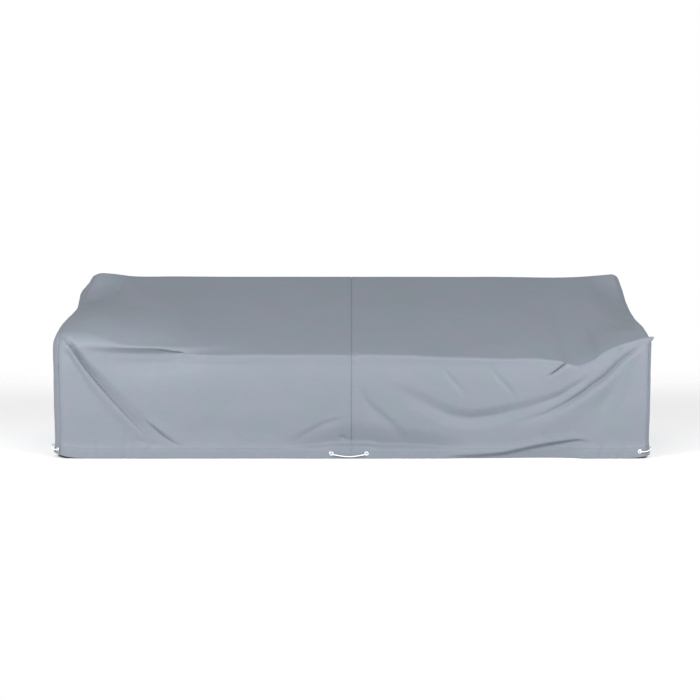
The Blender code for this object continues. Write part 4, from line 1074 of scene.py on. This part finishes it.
for side, sign in SIDES.items():
    points = end_points(side)
    name = "end_" + side
    panel, outer, normals = make_panel(name + "_sheet", points, points[..., 1], points[..., 2],
                                       sign, False)
    PANELS[name] = panel
    FACES[name] = (outer, normals)
    print(panel.name, points.shape, len(panel.data.polygons), "faces")

# %% Declaring the panels
for name, panel in PANELS.items():
    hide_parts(name)
    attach(panel, "root")

# %% [markdown]
# ## The stitches
#
# The panels are sewn with a thread of the cloth's own colour. Beside the middle seam run
# two rows of stitches, one more follows each edge of the end panels, and another holds
# the turned hem. There are thousands, so each is a slim lozenge of a few faces, half sunk
# in the cloth, and a row of them is one mesh.

# %% A row of stitches
STITCH = 0.0034
STITCH_STEP = 0.0046
THREAD = 0.00045
STITCH_FULL = (-0.3, 0.3)    # between these shares of its length a stitch is at its thickest


def read_line(line, walked, stops):
    """Points of a line at some distances along it."""
    return np.stack([np.interp(stops, walked, line[:, axis]) for axis in range(3)], -1)


def sew(name, lines):
    """Sew rows of stitches along lines, each given as points and outward directions."""
    points, faces = [], []
    for line, outwards in lines:
        walked = lengths_along(line)
        stops = np.arange(STITCH_STEP, walked[-1] - STITCH_STEP, STITCH_STEP)
        centres = read_line(line, walked, stops)
        aheads = unit(read_line(line, walked, stops + STITCH / 2) - centres)
        rises = read_line(outwards, walked, stops)
        rises = unit(rises - aheads * np.sum(rises * aheads, axis=1, keepdims=True))
        for centre, ahead, rise, across in zip(centres, aheads, rises, np.cross(aheads, rises)):
            first = len(points)
            for place in STITCH_FULL:
                middle = centre + ahead * place * STITCH
                points += [middle + rise * THREAD, middle + across * THREAD,
                           middle - rise * THREAD, middle - across * THREAD]
            points += [centre - ahead * STITCH / 2, centre + ahead * STITCH / 2]
            for turn in range(4):
                after = (turn + 1) % 4
                faces.append((first + turn, first + after, first + 4 + after, first + 4 + turn))
                faces.append((first + 8, first + after, first + turn))
                faces.append((first + 4 + turn, first + 4 + after, first + 9))
    row = add_mesh(name, points, faces)
    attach(row, "root")
    return row


# %% Where the rows run
SEAM_COLUMN = 4         # column of the stitches beside the middle seam
CORNER_COLUMN = -3      # and beside the end seams
HEM_ROW = int(np.argmin(np.abs(np.array(HEM_ROWS) - TOPSTITCH[1])))


def surface_line(name, row=slice(None), column=slice(None)):
    """One row or column of a panel's outer face, with its outward directions."""
    outer, normals = FACES[name]
    return outer[row, column], normals[row, column]


BODY = ("cloth_left", "cloth_right")
SEWN = [
    sew("stitches_middle_seam", [surface_line(name, column=SEAM_COLUMN) for name in BODY]),
    sew("stitches_hem", [surface_line(name, row=HEM_ROW) for name in FACES]),
    sew("stitches_ends", [surface_line(name, column=CORNER_COLUMN) for name in BODY]),
]
for row in SEWN:
    print(row.name, len(row.data.polygons), "faces")

# %% [markdown]
# ## The eyelets
#
# Each eyelet is a pressed ring of light metal: a barrel through the cloth and a flange
# rolled over on the face. It is modelled once, as a circle whose edge is extruded and
# scaled along the profile, and copied to the six places of the CAD model's eyelets.

# %% One eyelet
EYELET_SIDES = 40
MERGE = 0.00001
SMOOTH_BELOW = 50.0      # degrees between faces

# Radius, height: up the barrel, over the flange and back.
EYELET_PROFILE = (
    (0.0044, -0.0038), (0.0044, -0.0013), (0.0046, -0.0007), (0.0051, -0.0003),
    (0.0058, -0.0001), (0.0068, 0.0000), (0.0077, -0.0002), (0.0084, -0.0005),
    (0.0088, -0.0010), (0.0088, -0.0013), (0.0085, -0.0016), (0.0053, -0.0016),
    (0.0052, -0.0038), (0.0044, -0.0038),
)


def model_eyelet():
    """Extrude and scale a circle along the eyelet's profile, and close it."""
    bpy.ops.object.select_all(action="DESELECT")
    radius, height = EYELET_PROFILE[0]
    bpy.ops.mesh.primitive_circle_add(vertices=EYELET_SIDES, radius=radius, location=(0, 0, height))
    ring = bpy.context.active_object
    bpy.ops.object.transform_apply(location=True, rotation=True, scale=True)
    bpy.ops.object.mode_set(mode="EDIT")
    bpy.ops.mesh.select_all(action="SELECT")
    for next_radius, next_height in EYELET_PROFILE[1:]:
        rise = (0.0, 0.0, next_height - height)
        bpy.ops.mesh.extrude_region_move(TRANSFORM_OT_translate={"value": rise})
        grow = next_radius / radius
        bpy.ops.transform.resize(value=(grow, grow, 1.0), center_override=(0.0, 0.0, 0.0))
        radius, height = next_radius, next_height
    bpy.ops.mesh.select_all(action="SELECT")
    bpy.ops.mesh.remove_doubles(threshold=MERGE)
    bpy.ops.mesh.normals_make_consistent(inside=False)
    bpy.ops.object.mode_set(mode="OBJECT")
    bpy.ops.object.shade_smooth_by_angle(angle=math.radians(SMOOTH_BELOW))
    return ring


# %% The six eyelets
EYELETS = {}
pattern = model_eyelet()
for nodes in EYELET_HOMES.values():
    for node in nodes:
        place, outwards = eyelet_seat(node)
        mesh = pattern.data.copy()
        turned = Vector(outwards).to_track_quat("Z", "Y").to_matrix().to_4x4()
        mesh.transform(Matrix.Translation(place) @ turned)
        ring = bpy.data.objects.new(node + "_ring", mesh)
        bpy.context.scene.collection.objects.link(ring)
        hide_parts(node)
        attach(ring, "root")
        EYELETS[node] = ring
bpy.data.objects.remove(pattern)
print(len(EYELETS), "eyelets of", len(ring.data.polygons), "faces")

# %% [markdown]
# ## Shader maths
#
# A pattern is a sum of waves and noises, which is easier to read as a sum than as a web
# of nodes. So an output socket is wrapped in a small class that adds and multiplies as a
# number does, and each sum adds its Math node.


# %% Wires and nodes
class Wire:
    """One output of a node, which adds, subtracts and multiplies as a number does."""

    def __init__(self, paint, socket):
        self.paint = paint
        self.socket = socket

    def __add__(self, other):
        return self.paint.node("ShaderNodeMath", {"operation": "ADD"}, {0: self, 1: other})

    def __sub__(self, other):
        return self.paint.node("ShaderNodeMath", {"operation": "SUBTRACT"}, {0: self, 1: other})

    def __rsub__(self, other):
        return self.paint.node("ShaderNodeMath", {"operation": "SUBTRACT"}, {0: other, 1: self})

    def __mul__(self, other):
        return self.paint.node("ShaderNodeMath", {"operation": "MULTIPLY"}, {0: self, 1: other})

    __radd__ = __add__
    __rmul__ = __mul__


class Paint:
    """A material and its nodes."""

    def __init__(self, name, colour, roughness, metallic=0.0):
        self.material = bpy.data.materials.new(name)
        self.material.use_nodes = True
        self.tree = self.material.node_tree
        self.shader = self.tree.nodes["Principled BSDF"]
        self.fill(self.shader, {"Base Color": (*colour, 1.0), "Roughness": roughness,
                                "Metallic": metallic})

    def fill(self, node, values):
        """Set a node's sockets to values, or link wires to them."""
        for key, value in values.items():
            if isinstance(value, Wire):
                self.tree.links.new(value.socket, node.inputs[key])
            else:
                node.inputs[key].default_value = value

    def node(self, kind, settings, values, output=0):
        """Add a node: its settings first, then its sockets."""
        node = self.tree.nodes.new(kind)
        for setting, value in settings.items():
            setattr(node, setting, value)
        self.fill(node, values)
        return Wire(self, node.outputs[output])


def noise(paint, place, scale, detail):
    """Noise with a number of patches to a metre."""
    return paint.node("ShaderNodeTexNoise", {}, {"Vector": place, "Scale": scale, "Detail": detail})


def wave(paint, value, pitch):
    """A sine of a length along the surface, from -1 to 1 over one pitch."""
    turns = value * (2 * math.pi / pitch)
    return paint.node("ShaderNodeMath", {"operation": "SINE"}, {0: turns})


def blend(paint, factor, first, second):
    """Mix two colours."""
    return paint.node("ShaderNodeMix", {"data_type": "RGBA"}, {0: factor, 6: first, 7: second}, 2)


def spread(paint, value, low, high):
    """Stretch the values from low to high over 0 to 1."""
    return paint.node("ShaderNodeMapRange", {"clamp": True},
                      {"Value": value, "From Min": low, "From Max": high})


def clip(paint, value):
    """Keep a value between 0 and 1."""
    return paint.node("ShaderNodeClamp", {}, {"Value": value})


def split(paint, place):
    """The first two parts of a place, as wires."""
    return [paint.node("ShaderNodeSeparateXYZ", {}, {0: place}, axis) for axis in (0, 1)]


def bump(paint, height, distance, strength):
    """A bump that follows a height."""
    return paint.node("ShaderNodeBump", {}, {"Height": height, "Distance": distance,
                                             "Strength": strength})


# %% [markdown]
# ## The coated cloth
#
# The cloth is a polyester weave with a thin coating: matt, with a faint sheen where it
# bends, and a hue that shifts between green-grey and violet-grey from patch to patch.
# Close up it has fine threads and tiny crinkles. The folds are all in the mesh. The
# pattern follows each panel's own UV map, which is in metres of cloth.

# %% Coated cloth
GREEN_GREY = (0.149, 0.177, 0.202, 1.0)
VIOLET_GREY = (0.160, 0.173, 0.210, 1.0)
PALE_GREY = (0.185, 0.203, 0.232, 1.0)
MEAN_GREY = (0.155, 0.175, 0.205)
CLOTH_ROUGHNESS = 0.60
THREAD_PITCH = 0.0007
HUES, CLOUDS, RUBS = 7.0, 3.2, 46.0                     # patches to a metre
CRINKLES, DIMPLES = 38.0, 120.0
WEAVE_RISE, CRINKLE_RISE, DIMPLE_RISE = 0.00002, 0.0016, 0.00022


def paint_cloth(name, on_panel):
    """The coated cloth, or its thread, which has no UV map."""
    paint = Paint(name, MEAN_GREY, CLOTH_ROUGHNESS)
    if on_panel:
        place = paint.node("ShaderNodeUVMap", {"uv_map": "cloth"}, {})
    else:
        place = paint.node("ShaderNodeTexCoord", {}, {}, "Object")
    hue = spread(paint, noise(paint, place, HUES, 1.0), 0.34, 0.66)
    cloud = noise(paint, place, CLOUDS, 3.0)
    rubbed = noise(paint, place, RUBS, 3.0)
    tint = blend(paint, hue, GREEN_GREY, VIOLET_GREY)
    paleness = (cloud - 0.5) * 0.35 + (rubbed - 0.5) * 0.30 + 0.06
    colour = blend(paint, clip(paint, paleness), tint, PALE_GREY)
    roughness = CLOTH_ROUGHNESS + (rubbed - 0.5) * 0.14 + (cloud - 0.5) * 0.10
    values = {"Base Color": colour, "Roughness": roughness}
    if on_panel:
        across, along = split(paint, place)
        weave = wave(paint, across, THREAD_PITCH) * wave(paint, along, THREAD_PITCH)
        crinkle = noise(paint, place, CRINKLES, 4.0)
        dimple = noise(paint, place, DIMPLES, 2.0)
        height = weave * WEAVE_RISE + crinkle * CRINKLE_RISE + dimple * DIMPLE_RISE
        values["Normal"] = bump(paint, height, 1.0, 0.55)
    paint.fill(paint.shader, values)
    return paint.material


cloth = paint_cloth("coated_cloth_visual", True)
thread = paint_cloth("cloth_thread_visual", False)
for panel in PANELS.values():
    panel.data.materials.append(cloth)
for row in SEWN:
    row.data.materials.append(thread)
print("cloth nodes", len(cloth.node_tree.nodes))

# %% [markdown]
# ## The cord and the eyelets
#
# The cord is a white braid: strands cross in two spirals, so its bump is the product of
# two slanting waves on the tube's UV map, and shade is painted grey into the hollows between
# the strands, along with some soiled patches. The eyelets are satin metal with fine brush
# marks and some dull spots.

# %% White braid
WHITE = (0.83, 0.84, 0.85, 1.0)
# painted shade for the hollows between the braid's strands, and the grey of its soiled patches
BRAID_SHADE_AND_SOIL = (0.52, 0.54, 0.57, 1.0)
STRANDS = 6.0
BRAID_LENGTH = 1.5      # diameters in which a strand goes once round
BRAID_RISE = 0.0002
SOIL = 1.3              # patches to a diameter


def paint_braid():
    """The drawcord's braid."""
    paint = Paint("white_cord_visual", WHITE[:3], 0.8)
    place = paint.node("ShaderNodeUVMap", {"uv_map": "cloth"}, {})
    around, along = split(paint, place)
    rising = wave(paint, around * STRANDS + along * (STRANDS / BRAID_LENGTH), 1.0)
    falling = wave(paint, around * STRANDS - along * (STRANDS / BRAID_LENGTH), 1.0)
    crossing = rising * falling
    soil = noise(paint, place, SOIL, 3.0)
    # painted shade: greyer where the braid's bump is low, in the hollows between strands, plus
    # random soiled patches
    hollow_shade_and_soil = clip(paint, 0.30 - crossing * 0.28 + (soil - 0.5) * 0.4)
    paint.fill(paint.shader, {"Base Color": blend(paint, hollow_shade_and_soil, WHITE, BRAID_SHADE_AND_SOIL),
                              "Roughness": 0.72 + (soil - 0.5) * 0.2,
                              "Normal": bump(paint, crossing, BRAID_RISE, 0.8)})
    return paint.material


# %% Satin metal
BRIGHT_METAL = (0.90, 0.91, 0.92, 1.0)
DULL_METAL = (0.70, 0.72, 0.74, 1.0)
SPOTS, BRUSHING = 260.0, 1800.0    # patches to a metre
BRUSH_RISE = 0.00004


def paint_metal():
    """Light satin metal, as the pressed eyelets have."""
    paint = Paint("eyelet_metal_visual", BRIGHT_METAL[:3], 0.3, 0.55)
    place = paint.node("ShaderNodeTexCoord", {}, {}, "Object")
    dull = spread(paint, noise(paint, place, SPOTS, 3.0), 0.45, 0.75)
    brushed = noise(paint, place, BRUSHING, 2.0)
    paint.fill(paint.shader, {"Base Color": blend(paint, dull, BRIGHT_METAL, DULL_METAL),
                              "Roughness": 0.26 + dull * 0.16,
                              "Normal": bump(paint, brushed, BRUSH_RISE, 0.5)})
    return paint.material


braid = paint_braid()
metal = paint_metal()
for cord, _ in CORDS.values():
    cord.data.materials.append(braid)
for ring in EYELETS.values():
    ring.data.materials.append(metal)
print("materials", [material.name for material in (cloth, thread, braid, metal)])

# %% [markdown]
# ## Floor and light
#
# The cover stands on a pale floor under soft studio light. The floor fades out so that it
# has no edge, and the world is white to the camera and greyer to the cover, as a bright
# backdrop behind it is.

# %% Floor
FLOOR_SIZE = 16.0
FLOOR_GREY = (0.92, 0.92, 0.92)
FADE_FROM, FADE_TO = 1.6, 3.9    # distances from the middle

bpy.ops.object.select_all(action="DESELECT")
bpy.ops.mesh.primitive_plane_add(size=FLOOR_SIZE, location=(0.0, 0.0, 0.0))
floor = bpy.context.active_object
floor.name = "floor"
paint = Paint("pale_floor", FLOOR_GREY, 0.9)
floor.data.materials.append(paint.material)
place = paint.node("ShaderNodeTexCoord", {}, {}, "Object")
away = paint.node("ShaderNodeVectorMath", {"operation": "LENGTH"}, {0: place}, "Value")
fade = paint.node("ShaderNodeMapRange", {"interpolation_type": "SMOOTHSTEP"},
                  {"Value": away, "From Min": FADE_FROM, "From Max": FADE_TO})
clear = paint.node("ShaderNodeBsdfTransparent", {}, {})
surface = Wire(paint, paint.shader.outputs[0])
mixed = paint.node("ShaderNodeMixShader", {}, {0: fade, 1: surface, 2: clear})
paint.fill(paint.tree.nodes["Material Output"], {0: mixed})
print("floor fades out from", FADE_FROM, "to", FADE_TO, "m")

# %% Backdrop
WHITE_LIGHT = (1.0, 1.0, 1.0, 1.0)
SKY_STRENGTH = 0.56      # as it lights the cover; the camera sees it white

world = bpy.data.worlds.new("studio")
bpy.context.scene.world = world
world.use_nodes = True
tree = world.node_tree
sky = tree.nodes["Background"]
backdrop = tree.nodes.new("ShaderNodeBackground")
for background, strength in ((sky, SKY_STRENGTH), (backdrop, 1.0)):
    background.inputs["Color"].default_value = WHITE_LIGHT
    background.inputs["Strength"].default_value = strength
path = tree.nodes.new("ShaderNodeLightPath")
both = tree.nodes.new("ShaderNodeMixShader")
tree.links.new(path.outputs["Is Camera Ray"], both.inputs[0])
tree.links.new(sky.outputs[0], both.inputs[1])
tree.links.new(backdrop.outputs[0], both.inputs[2])
tree.links.new(both.outputs[0], tree.nodes["World Output"].inputs[0])


# %% Lights
def add_light(name, place, aim, width, height, energy):
    """Add a rectangular soft light."""
    data = bpy.data.lights.new(name, "AREA")
    data.shape = "RECTANGLE"
    data.size = width
    data.size_y = height
    data.energy = energy
    light = bpy.data.objects.new(name, data)
    bpy.context.scene.collection.objects.link(light)
    light.location = place
    light.rotation_euler = (Vector(aim) - Vector(place)).to_track_quat("-Z", "Y").to_euler()
    light.visible_camera = False


# Place, the point it is aimed at, width, height, watts.
LIGHTS = {
    "key_left": ((-2.5, -3.0, 2.1), (-0.6, -0.2, 0.3), 1.2, 0.8, 138.0),
    "key_right": ((2.3, -3.0, 2.1), (0.6, -0.2, 0.3), 1.2, 0.8, 121.0),
    "back_fill": ((0.0, 4.4, 1.0), (0.0, 0.0, 0.3), 3.0, 0.8, 60.0),
}
for name, settings in LIGHTS.items():
    add_light(name, *settings)
    print(name, settings[-1], "W")
bpy.context.scene.view_settings.view_transform = "Standard"
